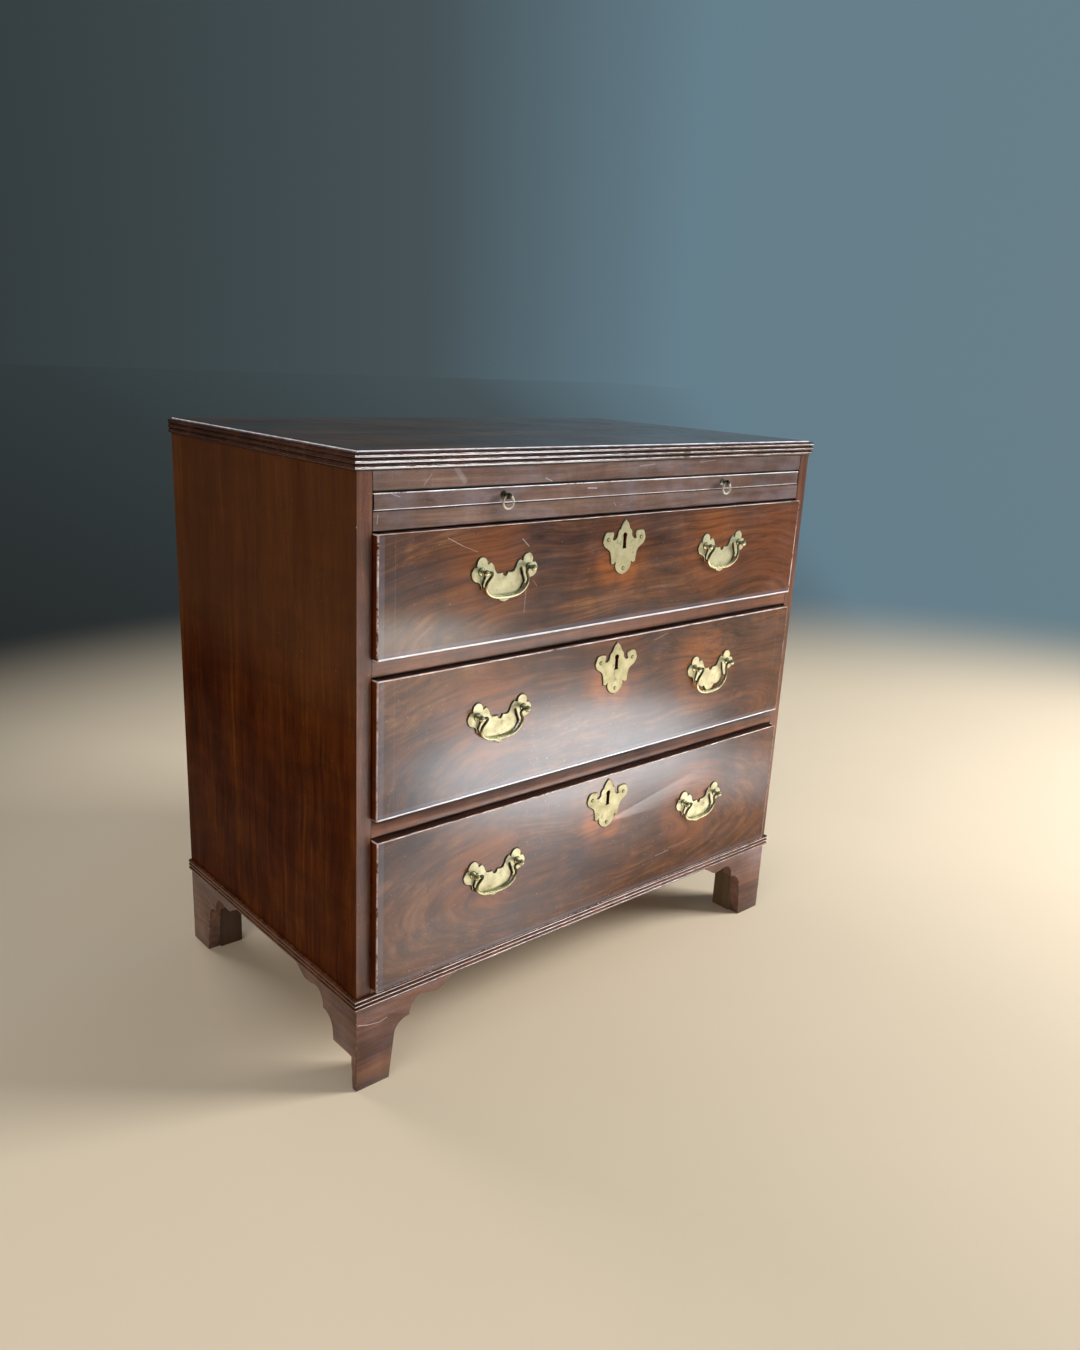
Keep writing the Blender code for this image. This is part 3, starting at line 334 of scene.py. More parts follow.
class Tree:
    """Nodes of a material, world or lamp, added by short calls that give the output they make."""

    def __init__(self, owner):
        owner.use_nodes = True
        self.nodes, self.links = owner.node_tree.nodes, owner.node_tree.links

    def put(self, socket, value):
        if isinstance(value, bpy.types.NodeSocket):
            self.links.new(value, socket)
        else:
            socket.default_value = value

    def node(self, kind, inputs=None, **settings):
        made = self.nodes.new(kind)
        for key, value in settings.items():
            setattr(made, key, value)
        for key, value in (inputs or {}).items():
            self.put(made.inputs[key], value)
        return made

    def math(self, operation, a, b=0.0, c=0.0):
        return self.node("ShaderNodeMath", {0: a, 1: b, 2: c}, operation=operation).outputs[0]

    def times(self, a, b):
        return self.math("MULTIPLY", a, b)

    def scaled(self, a, b, c):
        """a times b, plus c."""
        return self.math("MULTIPLY_ADD", a, b, c)

    def minus(self, a, b):
        return self.math("SUBTRACT", a, b)

    def apart(self, a, b):
        return self.math("ABSOLUTE", self.minus(a, b))

    def vector(self, operation, a, b=(0.0, 0.0, 0.0)):
        return self.node("ShaderNodeVectorMath", {0: a, 1: b}, operation=operation).outputs[0]

    def measure(self, operation, a, b):
        """A number from two vectors."""
        return self.node("ShaderNodeVectorMath", {0: a, 1: b}, operation=operation).outputs["Value"]

    def far(self, a, b):
        return self.measure("DISTANCE", a, b)

    def range(self, value, low, high, to_low=0.0, to_high=1.0):
        inputs = {"Value": value, "From Min": low, "From Max": high, "To Min": to_low, "To Max": to_high}
        return self.node("ShaderNodeMapRange", inputs, interpolation_type="SMOOTHSTEP").outputs[0]

    def noise(self, place, scale, detail=4.0, roughness=0.55, distortion=0.0, output="Fac"):
        inputs = {"Vector": place, "Scale": scale, "Detail": detail, "Roughness": roughness,
                  "Distortion": distortion}
        return self.node("ShaderNodeTexNoise", inputs).outputs[output]

    def fac(self, place, stretch, detail=4.0, roughness=0.55, distortion=0.0):
        """Noise in a place stretched per axis."""
        return self.noise(self.vector("MULTIPLY", place, stretch), 1.0, detail, roughness, distortion)

    def mix(self, factor, a, b, blend="MIX"):
        """A mix of two colours, each an output or (red, green, blue)."""
        made = self.node("ShaderNodeMix", data_type="RGBA", blend_type=blend)
        self.put(made.inputs[0], factor)
        for socket, colour in ((6, a), (7, b)):
            self.put(made.inputs[socket], (*colour, 1.0) if isinstance(colour, tuple) else colour)
        return made.outputs[2]

    def ramp(self, value, stops):
        made = self.node("ShaderNodeValToRGB", {"Fac": value})
        steps = made.color_ramp.elements
        while len(steps) < len(stops):
            steps.new(0.5)
        for step, (position, colour) in zip(steps, stops):
            step.position = position
            step.color = (*colour, 1.0)
        return made.outputs["Color"]

    def split(self, vector):
        return self.node("ShaderNodeSeparateXYZ", {0: vector}).outputs

    def join(self, x, y, z):
        return self.node("ShaderNodeCombineXYZ", {0: x, 1: y, 2: z}).outputs[0]

    def flat(self):
        """The place seen from the front, without its depth."""
        return self.vector("MULTIPLY", self.place, (1.0, 0.0, 1.0))

    def segment(self, start, end, half):
        """1 on a line between two (x, z) points of the front, and 0 beside it."""
        (ax, az), (bx, bz) = start, end
        run = Vector((bx - ax, 0.0, bz - az))
        along = self.vector("SUBTRACT", self.flat(), (ax, 0.0, az))
        dot = self.measure("DOT_PRODUCT", along, run / run.length_squared)
        share = self.node("ShaderNodeClamp", {0: dot}).outputs[0]
        foot = self.node("ShaderNodeVectorMath", {0: run, "Scale": share}, operation="SCALE").outputs[0]
        return self.range(self.far(along, foot), half, half * 0.3)

    def finish(self, colour, roughness, height, distance, strength, constants=None):
        """The material, once its shader has these looks and a bump of that height."""
        shader = self.node("ShaderNodeBsdfPrincipled", {"Base Color": colour, "Roughness": roughness})
        for key, value in (constants or {}).items():
            shader.inputs[key].default_value = value
        bumps = {"Normal": strength}
        if shader.inputs["Coat Weight"].default_value > 0.0:
            bumps["Coat Normal"] = strength * 0.4
        for socket, share in bumps.items():
            inputs = {"Height": height, "Distance": distance, "Strength": share}
            self.links.new(self.node("ShaderNodeBump", inputs).outputs[0], shader.inputs[socket])
        self.node("ShaderNodeOutputMaterial", {"Surface": shader.outputs[0]})
        return self.material


def new_material(name):
    """A new material's tree, empty but for the object's own coordinates as its place."""
    material = bpy.data.materials.new(name)
    t = Tree(material)
    t.material = material
    t.nodes.clear()
    t.place = t.node("ShaderNodeTexCoord").outputs["Object"]
    return t


def grain_place(t, grain, seed, figure=None, warp=0.012):
    """Coordinates in which the grain runs along x and its layers are stacked along y and z."""
    shift = (seed * 0.731, seed * 0.417, seed * 0.913)
    shifted = t.vector("ADD", t.place, shift)
    lazy = t.noise(t.vector("MULTIPLY", shifted, (3.0, 7.0, 7.0)), 1.0, 2.0, output="Color")
    bend = t.vector("MULTIPLY", t.vector("SUBTRACT", lazy, (0.5, 0.5, 0.5)), (warp * 2,) * 3)
    x, y, z = t.split(t.vector("ADD", shifted, bend))[0:3]
    order = {"X": (x, y, z), "Y": (y, x, z), "Z": (z, x, y)}[grain]
    if figure:
        # Flame: the layers bow round a middle stretch of the board
        middle, half, height, stretch = figure
        out = t.apart(order[0], shift[0] + middle)
        beyond = t.math("MAXIMUM", t.minus(out, half), 0.0)
        rise = t.minus(order[2], shift[2] + height)
        run = t.times(beyond, stretch)
        reach = t.math("SQRT", t.math("ADD", t.times(run, run), t.times(rise, rise)))
        return t.join(order[0], order[1], reach)
    return t.join(*order)


def wood(name, grain, seed, stops, figure=None, warp=0.012, gloss=(0.29, 0.38), contrast=1.0, bands=0.22,
         halos=(), scratches=(), ghost=0.0, ends=0.0, coat=0.0, level=0.5, darkening=(), lines=(), specks=0.75,
         scuff=SCUFF, painted_haze=0.0):
    """Polished wood with long streaks, cross bands of figure, open pores and handling marks.

    halos are (x, z, reach, strength, tone) on the front, grime (axis, plain, darkest, strength) makes the
    tone darker towards one end, and lines are (axis, middle, half width, tone, strength). ghost is how far
    out a faint upright line shows, and ends how far out the grain turns. level is the specular level. haze is
    how much of a bluish-grey cast is painted in patches, standing for a reflection sheen."""
    t = new_material("mahogany_" + name)
    layers = grain_place(t, grain, seed, figure, warp)
    if ends:
        outer = t.range(t.math("ABSOLUTE", t.split(t.place)[0]), ends - 0.0004, ends + 0.0004)
        other = grain_place(t, "Y" if grain == "X" else "X", seed + 5, None, warp)
        layers = t.mix(outer, layers, other)
    fine = t.fac(layers, (5.0, 150.0, 150.0), 6.0, 0.65)
    broad = t.fac(layers, (2.2, 26.0, 26.0), 4.0, 0.6, 0.4)
    cloud = t.fac(t.place, (5.0, 5.0, 5.0), 3.0)
    cross = t.fac(layers, (26.0, 9.0, 9.0), 3.0, 0.5, 0.8)
    value = t.times(fine, 0.42)
    value = t.scaled(broad, 0.34, value)
    value = t.scaled(cloud, 0.24, value)
    value = t.scaled(t.minus(value, 0.5), contrast * 2.2, 0.5)
    colour = t.ramp(value, stops)
    shade = t.range(cross, 0.25, 0.75, 1.0 - bands, 1.0 + bands)
    colour = t.mix(1.0, colour, t.join(shade, shade, shade), "MULTIPLY")
    pore = t.range(t.fac(layers, (130.0, 1500.0, 1500.0), 2.0, 0.5), 0.58, 0.70)
    colour = t.mix(t.times(pore, 0.42), colour, tuple(c * 0.35 for c in stops[0][1]))
    for x, z, reach, strength, tone in halos:
        near = t.range(t.far(t.flat(), (x, 0.0, z)), reach, reach * 0.35)
        near = t.times(near, t.range(fine, 0.30, 0.65, 0.30 * strength, strength))
        colour = t.mix(near, colour, tone)
    # Darker towards one end along an axis
    for axis, low, high, strength in darkening:
        tone_mask = t.range(t.split(t.place)[axis], low, high)
        tone_mask = t.times(tone_mask, t.range(cloud, 0.3, 0.6, strength * 0.5, strength))
        colour = t.mix(tone_mask, colour, DARKER_TONE)
    # Lines along an axis; all uses here are painted light: slit shadows, edge sheens and highlights, a
    # lighter top
    for axis, middle, half, tone, strength in lines:
        line = t.apart(t.split(t.place)[axis], middle)
        line = t.times(t.range(line, half, half * 0.6), t.range(broad, 0.2, 0.5, strength * 0.6, strength))
        colour = t.mix(line, colour, tone)
    # Painted reflection: a bluish-grey cast in patches, standing for a sheen
    if painted_haze:
        painted_veil = t.range(t.fac(t.place, (14.0, 14.0, 30.0), 5.0, 0.6), 0.42, 0.70, 0.0, painted_haze)
        colour = t.mix(painted_veil, colour, PAINTED_HAZE)
    wear = t.range(t.noise(t.place, 380.0, 2.0, 0.5), 0.715, 0.745)
    wear = t.times(wear, t.range(cloud, 0.35, 0.7, specks * 0.13, specks))
    if ghost:
        line = t.apart(t.math("ABSOLUTE", t.split(t.place)[0]), ghost)
        line = t.range(line, 0.0009, 0.0003, 0.0, 0.08)
        wear = t.math("MAXIMUM", wear, t.times(line, t.range(broad, 0.3, 0.6)))
    for start, end, half, strength in scratches:
        wear = t.math("MAXIMUM", wear, t.times(t.segment(start, end, half), strength))
    colour = t.mix(wear, colour, scuff)
    smudge = t.fac(t.place, (9.0, 9.0, 16.0), 5.0, 0.7)
    shine = t.scaled(pore, 0.10, t.range(smudge, 0.3, 0.7, *gloss))
    height = t.scaled(pore, -0.5, t.times(fine, 0.5))
    constants = {"Coat Weight": coat, "Coat Roughness": 0.10, "Specular IOR Level": level}
    return t.finish(colour, shine, height, 0.00012, 0.55, constants)


def worn(name, seed, bare, tints, gloss=(0.20, 0.42), broken=0.5):
    """An arris rubbed through its polish. Pale wood shows in runs and, where it is broken, in chips."""
    t = new_material(name)
    place = t.vector("ADD", t.place, (seed * 0.31, seed * 0.77, seed * 0.53))
    runs = t.noise(place, 18.0, 4.0, 0.6)
    chips = t.noise(place, 230.0, 3.0, 0.6)
    share = t.scaled(t.minus(chips, 0.5), broken, t.times(runs, 0.8))
    share = t.range(share, 0.55 - bare * 0.35, 0.67 - bare * 0.35)
    tint = t.ramp(t.noise(place, 60.0, 3.0), ((0.32, tints[0]), (0.68, tints[1])))
    colour = t.mix(share, OLD_POLISH, tint)
    return t.finish(colour, t.range(share, 0.0, 1.0, *gloss), chips, 0.0002, 0.5)


def brass(name, seed, stops, stained=0.35, gloss=(0.34, 0.24), centres=(), streaks=(), below=None):
    """Old brass, darker with oxide in patches and round its centres. Along its streaks, and upward from the
    heights in below, painted shade darkens it; on the bails there is oxide too.
    """
    t = new_material("brass_" + name)
    place = t.vector("ADD", t.place, (seed * 0.31, seed * 0.57, seed * 0.83))
    patch = t.noise(place, 55.0, 5.0, 0.6)
    fine = t.fac(place, (500.0, 500.0, 1900.0), 3.0, 0.6)
    colour = t.ramp(patch, stops)
    stain = t.range(t.noise(place, 130.0, 4.0, 0.65), 0.55, 0.72, 0.0, stained)
    colour = t.mix(stain, colour, STAIN)
    for x, z, radius in centres:
        rim = t.apart(t.far(t.flat(), (x, 0.0, z)), radius)
        colour = t.mix(t.range(rim, 0.0010, 0.0003, 0.0, 0.85), colour, CREVICE)
    for start, end, half in streaks:
        colour = t.mix(t.segment(start, end, half), colour, PAINTED_LIMB_SHADE)
    if below:
        colour = t.mix(t.range(t.split(t.place)[2], below[0], below[1], 0.0, 0.88), colour, PAINTED_LIMB_SHADE)
    shine = t.scaled(fine, 0.08, t.range(patch, 0.3, 0.7, *gloss))
    shine = t.scaled(stain, 0.4, shine)
    height = t.scaled(patch, 0.7, t.times(fine, 0.14))
    return t.finish(colour, shine, height, 0.0003, 0.35, {"Metallic": 1.0})


def iron(name):
    t = new_material(name)
    rust = t.noise(t.place, 90.0, 5.0, 0.65)
    colour = t.ramp(rust, RUSTED)
    return t.finish(colour, t.range(rust, 0.3, 0.8, 0.42, 0.8), rust, 0.0003, 0.5, {"Metallic": 0.8})


def raw_wood(name, grain, seed, stops, board=0.0):
    """Unpolished wood of the inside, dry and a little dirty. board is the width of a panel's boards."""
    t = new_material(name)
    layers = grain_place(t, grain, seed, None, 0.006)
    ring = t.fac(layers, (1.5, 60.0, 60.0), 4.0, 0.6, 0.3)
    fine = t.fac(layers, (9.0, 420.0, 420.0), 4.0, 0.6)
    value = t.scaled(fine, 0.45, t.times(ring, 0.6))
    colour = t.ramp(t.scaled(t.minus(value, 0.52), 1.9, 0.5), stops)
    tone_mask = t.range(t.fac(t.place, (7.0, 7.0, 7.0), 5.0, 0.65), 0.42, 0.72, 0.0, 0.55)
    colour = t.mix(tone_mask, colour, DUST)
    height = t.times(fine, 0.6)
    if board:
        step = t.math("PINGPONG", t.math("ADD", t.split(t.place)[0], 10.0), board / 2)
        crack = t.range(step, 0.0010, 0.0003)
        colour = t.mix(t.times(crack, 0.9), colour, SEAM)
        height = t.scaled(crack, -2.0, height)
    return t.finish(colour, t.range(fine, 0.3, 0.7, 0.62, 0.82), height, 0.0003, 0.6)


def tones(*colours, at=(0.2, 0.5, 0.8)):
    return tuple(zip(at, colours))

BRASS_STOPS = (0.28, 0.5, 0.72)
DARK = ((0.18, (0.0135, 0.0037, 0.0015)), (0.42, (0.042, 0.0118, 0.0036)), (0.60, (0.077, 0.0250, 0.0070)),
        (0.84, (0.165, 0.064, 0.0180)))
RED = tones((0.034, 0.0095, 0.0045), (0.096, 0.030, 0.0125), (0.175, 0.063, 0.026))
DIVIDED = tones((0.046, 0.0130, 0.006), (0.135, 0.044, 0.018), (0.235, 0.088, 0.037))
# The rails: tones of a bloomed old finish, made lighter and greyer as a painted sheen
BLOOM_AND_PAINTED_SHEEN = ((0.16, (0.032, 0.012, 0.007)), (0.5, (0.100, 0.044, 0.027)), (0.84, (0.205, 0.115, 0.075)))
BLACKENED = tones((0.014, 0.0050, 0.0030), (0.042, 0.0150, 0.0080), (0.090, 0.036, 0.020))
SIDE = ((0.16, (0.023, 0.0031, 0.0003)), (0.42, (0.049, 0.0082, 0.0008)), (0.62, (0.075, 0.0158, 0.0016)),
        (0.86, (0.122, 0.035, 0.0045)))
END = tones((0.034, 0.0050, 0.0008), (0.078, 0.0125, 0.0016), (0.135, 0.026, 0.0035))
FOOTED = tones((0.044, 0.016, 0.011), (0.132, 0.055, 0.037), (0.260, 0.118, 0.068))
# Near-black tones for painted shade in slits and gaps
GAP_SHADE_TONES = tones((0.006, 0.003, 0.002), (0.014, 0.006, 0.003), (0.030, 0.012, 0.006))
EDGE = tones((0.020, 0.006, 0.003), (0.048, 0.015, 0.009), (0.090, 0.030, 0.020))
OAKEN = tones((0.15, 0.085, 0.042), (0.27, 0.165, 0.085), (0.40, 0.26, 0.145))
AGED = tones((0.075, 0.042, 0.018), (0.135, 0.082, 0.036), (0.20, 0.128, 0.060))
STAINED = tones((0.030, 0.014, 0.007), (0.060, 0.028, 0.013), (0.10, 0.050, 0.024))
PINEN = tones((0.19, 0.105, 0.050), (0.31, 0.185, 0.090), (0.43, 0.28, 0.15))
PLATE_BRASS = tones((0.44, 0.41, 0.26), (0.63, 0.605, 0.41), (0.76, 0.745, 0.54), at=BRASS_STOPS)
ESC_BRASS = tones((0.33, 0.30, 0.175), (0.46, 0.43, 0.27), (0.57, 0.545, 0.365), at=BRASS_STOPS)
SILVERY = tones((0.60, 0.57, 0.44), (0.80, 0.77, 0.64), (0.90, 0.88, 0.78), at=BRASS_STOPS)
# Painted shade on the bails and on the plates beside their limbs
PAINTED_LIMB_SHADE = (0.022, 0.013, 0.006)
RUBBED_BRASS = tones((0.54, 0.48, 0.27), (0.74, 0.68, 0.42), (0.86, 0.82, 0.56), at=BRASS_STOPS)
BRONZE = tones((0.050, 0.036, 0.022), (0.110, 0.085, 0.055), (0.46, 0.42, 0.34), at=BRASS_STOPS)
# Tones of the dark rim round a plate's back: dirty, with a painted contact shadow
SOIL_AND_SHADOW_TONES = ((0.3, (0.030, 0.022, 0.012)), (0.6, (0.075, 0.055, 0.026)))
RUSTED = ((0.35, (0.030, 0.026, 0.024)), (0.6, (0.065, 0.050, 0.042)), (0.75, (0.13, 0.062, 0.030)))
PALE = ((0.30, 0.160, 0.125), (0.66, 0.52, 0.50))
# Reed crowns: worn pale wood with a painted highlight on the front, dark tones as painted shade on the sides
CROWN_WEAR_PAINTED_HIGHLIGHT = ((0.34, 0.21, 0.18), (0.80, 0.72, 0.75))
CROWN_PAINTED_SHADE = ((0.060, 0.020, 0.009), (0.150, 0.065, 0.036))
# Pale worn wood pushed near white: wear with a painted highlight
WEAR_WITH_PAINTED_HIGHLIGHT = ((0.40, 0.24, 0.19), (0.78, 0.65, 0.60))
# Pale worn wood tinted bluish-white: wear with a painted sky glint
WEAR_WITH_PAINTED_GLINT = ((0.55, 0.45, 0.45), (0.92, 0.89, 0.94))
REDDISH = ((0.20, 0.085, 0.065), (0.72, 0.60, 0.58))
# Painted reflection of the brass: an orange glow on the wood round it
PAINTED_BRASS_GLOW = (0.21, 0.058, 0.008)
PAINTED_BRASS_EMBER = (0.34, 0.092, 0.014)
RUSSET = (0.165, 0.046, 0.009)
RUSSET_SHARES = {1: 0.70, 2: 0.25, 3: 0.15}
BLUISH = (0.44, 0.43, 0.50)
CHALKY = (0.74, 0.66, 0.64)


def front_box(number):
    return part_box(f"drawer_{number}_front")


def keyhole_z(number):
    return front_box(number)[1].z - ESC_TOP_MARGIN - ESC_RISE


def handle_centre(number, label):
    pivot = PIVOTS[f"drawer_{number}_bail_{label}_lift"]
    return Vector((pivot.x, front_box(number)[0].y, pivot.z))


def glow_and_russet_halos(number):
    """Painted reflection of the brass on the wood: an orange glow round a drawer's handles and under its
    escutcheon; and redder wood at its right end.
    """
    low, high = front_box(number)
    hole = keyhole_z(number)
    handles = [handle_centre(number, label) for label in SIDES]
    return [*((centre.x - 0.018, centre.z - 0.004, 0.090, 0.75, PAINTED_BRASS_GLOW) for centre in handles),
            (INNER_HALF - 0.03, (low.z + high.z) / 2, 0.15, RUSSET_SHARES[number], RUSSET),
            (0.0, hole - 0.020, 0.080, 0.45, PAINTED_BRASS_GLOW), (-0.022, hole - 0.032, 0.034, 0.6, PAINTED_BRASS_EMBER),
            (0.012, hole - 0.046, 0.026, 0.55, PAINTED_BRASS_EMBER)]


def seen_on(node, pixel):
    """Where a pixel of the photograph falls on a node's face, as (x, z)."""
    across = (pixel[0] - FRAME_WIDTH / 2) / FOCAL_PIXELS
    drop = (pixel[1] - FRAME_HEIGHT / 2) / FOCAL_PIXELS
    ray = CAMERA_FORWARD.normalized() + CAMERA_RIGHT.normalized() * across - CAMERA_UP * drop
    place = CAMERA_PLACE + ray * ((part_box(node)[0].y - CAMERA_PLACE.y) / ray.y)
    return place.x, place.z


def scratches_on(node):
    """A node's scratches, with their ends as places on its face."""
    return [(seen_on(node, start), seen_on(node, end), *rest) for start, end, *rest in SCRATCHES[node]]


def slit_shadow_line(node, end, half):
    """A painted shadow line along a board's upper or lower edge, beside a slit."""
    return ((2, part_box(node)[end].z, half, SLIT_SHADOW, 1.0),)


def edge_lines(number):
    """Painted sheen along a drawer front's left and lower edges, and on the upper two a painted highlight
    line just above the lower arris.
    """
    low = front_box(number)[0]
    found = [(0, low.x + 0.0055, 0.0048, LEFT_PAINTED_SHEEN, 0.24), (2, low.z + 0.0056, 0.0030, LOW_PAINTED_SHEEN, 0.30)]
    return found if number == 3 else found + [(2, low.z + 0.0020, 0.0009, WEAR_WITH_PAINTED_GLINT[1], 0.85)]


# Marks in the photograph's pixels: start, end, half width in metres, strength
SCRATCHES = {
    "drawer_1_front": (((448, 538), (463, 546), 0.0007, 0.6), ((463, 546), (478, 552), 0.0005, 0.45),
                       ((523, 539), (529, 546), 0.0008, 0.6), ((526, 588), (524, 612), 0.0011, 0.25),
                       ((533, 580), (537, 586), 0.0006, 0.3)),
    "drawer_2_front": (((655, 640), (668, 633), 0.0005, 0.35), ((560, 735), (578, 728), 0.0005, 0.3)),
    "drawer_3_front": (((655, 856), (668, 850), 0.0008, 0.5), ((668, 848), (692, 838), 0.0004, 0.35)),
    "top_rail": (((457, 469), (465, 481), 0.0050, 0.16), ((432, 474), (424, 485), 0.0005, 0.40),
                 ((546, 478), (552, 481), 0.0012, 0.45), ((640, 466), (655, 464), 0.0012, 0.30),
                 ((700, 462), (716, 460), 0.0010, 0.30)),
    "slide_rail": (((614, 502), (616, 506), 0.0006, 0.50), ((378, 515), (377, 524), 0.0010, 0.25)),
    "foot_front_left": (((358, 1026), (368, 1025), 0.0007, 0.70), ((368, 1025), (379, 1022), 0.0006, 0.60),
                        ((379, 1022), (387, 1017), 0.0006, 0.60), ((390, 1046), (392, 1058), 0.0006, 0.12)),
    "slide_edge": (((588, 488), (597, 488), 0.0009, 0.80), ((392, 494), (400, 497), 0.0009, 0.35),
                   ((655, 480), (668, 479), 0.0008, 0.40)),
}
CONTRASTS = {1: 1.3, 2: 1.25, 3: 1.0}
# A flame's middle, half length and height, and how fast it bows
FIGURES = {1: (0.10, 0.20, 0.56, 0.35), 2: (0.05, 0.22, 0.38, 0.45), 3: (-0.02, 0.14, 0.22, 0.38)}
CROSSBAND_X = 0.364
GHOST_X = 0.362
# Painted sheen: the left side made lighter towards its top
SIDE_TOP_PAINTED_SHEEN = (2, 0.80, 0.36, (0.105, 0.045, 0.020), 0.5)
MATERIALS = {
    "side_left": wood("side_left", "Z", 1, SIDE, gloss=(0.30, 0.44), level=0.02, contrast=1.2, specks=0.3,
                      lines=(SIDE_TOP_PAINTED_SHEEN,)),
    "side_right": wood("side_right", "Z", 2, SIDE, gloss=(0.30, 0.44), level=0.12, specks=0.3),
    "top_board": wood("top", "X", 3, DARK, warp=0.02, gloss=(0.10, 0.19), ends=CROSSBAND_X, specks=0.0),
}
# Dividers: a painted shadow along the lower edge, beside the slit over the next drawer down
for seed, node in ((6, "divider_upper"), (7, "divider_lower")):
    MATERIALS[node] = wood(node, "X", seed, DIVIDED, level=0.3, lines=slit_shadow_line(node, 0, 0.0022))
# A painted shadow along the top rail's lower edge and the slide rail's upper edge, beside the slide
for seed, node, slit_shadow_end in ((4, "top_rail", 0), (5, "slide_rail", 1), (6, "slide_edge", None)):
    MATERIALS[node] = wood(node, "X", seed, BLOOM_AND_PAINTED_SHEEN, gloss=(0.29, 0.36), bands=0.20, scuff=BLUISH, painted_haze=0.22,
                           level=0.3, scratches=scratches_on(node),
                           lines=() if slit_shadow_end is None else slit_shadow_line(node, slit_shadow_end, 0.0014))
for number in DRAWERS:
    node = f"drawer_{number}_front"
    MATERIALS[node] = wood(f"drawer_{number}", "X", 10 + number, DARK, figure=FIGURES[number], warp=0.045,
                           contrast=CONTRASTS[number], bands=0.25, halos=glow_and_russet_halos(number),
                           scratches=scratches_on(node), lines=edge_lines(number),
                           ghost=GHOST_X if number < 3 else 0.0, coat=0.28, gloss=(0.29, 0.37), level=0.10,
                           painted_haze=0.04)
# Each foot's side, and its way inward
FEET = {"foot_front_left": (-1, 1), "foot_front_right": (1, 1),
        "foot_back_left": (-1, -1), "foot_back_right": (1, -1)}
# The feet are darker towards the bottom
FOOT_LOOK = {"gloss": (0.30, 0.45), "darkening": ((2, 0.030, 0.0, 0.4),), "painted_haze": 0.12}
FOOT_WOOD = wood("feet", "X", 20, FOOTED, **FOOT_LOOK)
FOOT_CRACKED = wood("foot_cracked", "X", 20, FOOTED, scratches=scratches_on("foot_front_left"),
                    scuff=CHALKY, **FOOT_LOOK)
FOOT_SIDE_WOOD = wood("feet_side", "Y", 21, FOOTED, **FOOT_LOOK)
MOULDING_WOODS = {"top_moulding": wood("top_moulding", "X", 22, BLACKENED, gloss=(0.12, 0.20), coat=0.3),
                  "base_moulding": wood("base_moulding", "X", 23, RED, gloss=(0.12, 0.20), coat=0.3)}
RAW_PINE = raw_wood("pine_block", "Z", 24, AGED)
STAINED_PINE = raw_wood("pine_stained", "Z", 28, STAINED)
OAK_DEEP = raw_wood("oak_deep", "Y", 42, OAKEN)
# Painted shadow lines on the stiles beside the drawers' ends
STILE = wood("stile", "Z", 25, RED, level=0.25,
             lines=[(0, side * INNER_HALF, 0.0014, SLIT_SHADOW, 1.0) for side in (-1, 1)])
FRONT_END = wood("end", "Z", 26, END, gloss=(0.34, 0.46), level=0.15)
# Painted shade: near-black wood for faces and arrises that sit in slits and gaps
GAP_SHADE = wood("gap_painted_shade", "X", 27, GAP_SHADE_TONES, gloss=(0.5, 0.7), level=0.1)
FRONT_TOP = wood("upper_edge", "X", 29, EDGE, gloss=(0.4, 0.5), level=0.2)
WORN = worn("worn_arris", 1, 0.45, PALE)
WORN_DARK = worn("worn_dark_arris", 6, 0.05, PALE)
# Worn arris with a painted highlight
WORN_ARRIS_PAINTED_HIGHLIGHT = worn("worn_arris_painted_highlight", 2, 0.95, WEAR_WITH_PAINTED_HIGHLIGHT, (0.16, 0.30), 0.3)
# Worn arris with a painted sky glint
WORN_ARRIS_PAINTED_GLINT = worn("worn_arris_painted_glint", 4, 1.0, WEAR_WITH_PAINTED_GLINT, (0.16, 0.28), 0.3)
WORN_RED = worn("worn_red_arris", 5, 0.75, REDDISH, (0.25, 0.40), 0.5)
# Reed crowns: worn with a painted highlight on the front, painted shade on the sides
REED_CROWN_PAINTED_HIGHLIGHT = worn("reed_crown_painted_highlight", 3, 1.0, CROWN_WEAR_PAINTED_HIGHLIGHT, (0.12, 0.22), 0.15)
REED_CROWN_PAINTED_SHADE = worn("side_reed_crown_painted_shade", 7, 0.5, CROWN_PAINTED_SHADE, (0.29, 0.40), 0.3)
SOIL_AND_SHADOW_RIM = brass("soil_and_shadow_rim", 34, SOIL_AND_SHADOW_TONES, 0.3, (0.5, 0.4))
PLATE_EDGE = brass("chamfer", 31, RUBBED_BRASS, 0.15, (0.26, 0.16))
HEAD_BRASS = brass("head", 32, RUBBED_BRASS, 0.30, (0.24, 0.14))
RING_BRASS = brass("ring", 33, SILVERY, 0.15, (0.42, 0.32))
PULL_BRASS = brass("pull", 35, BRONZE, 0.75, (0.26, 0.16))

# Camera
lens = bpy.data.cameras.new("camera")
lens.sensor_width = SENSOR
lens.lens = SENSOR * FOCAL_PIXELS / FRAME_HEIGHT
camera = bpy.data.objects.new("camera", lens)
right = CAMERA_FORWARD.cross(CAMERA_UP).normalized()
axes = (right, CAMERA_UP, -CAMERA_FORWARD, CAMERA_PLACE)
camera.matrix_world = Matrix([[axis[k] for axis in axes] for k in range(3)] + [[0.0, 0.0, 0.0, 1.0]])
bpy.context.scene.collection.objects.link(camera)
bpy.context.scene.camera = camera
bpy.context.scene.view_settings.view_transform = "Standard"


# Stage and lights

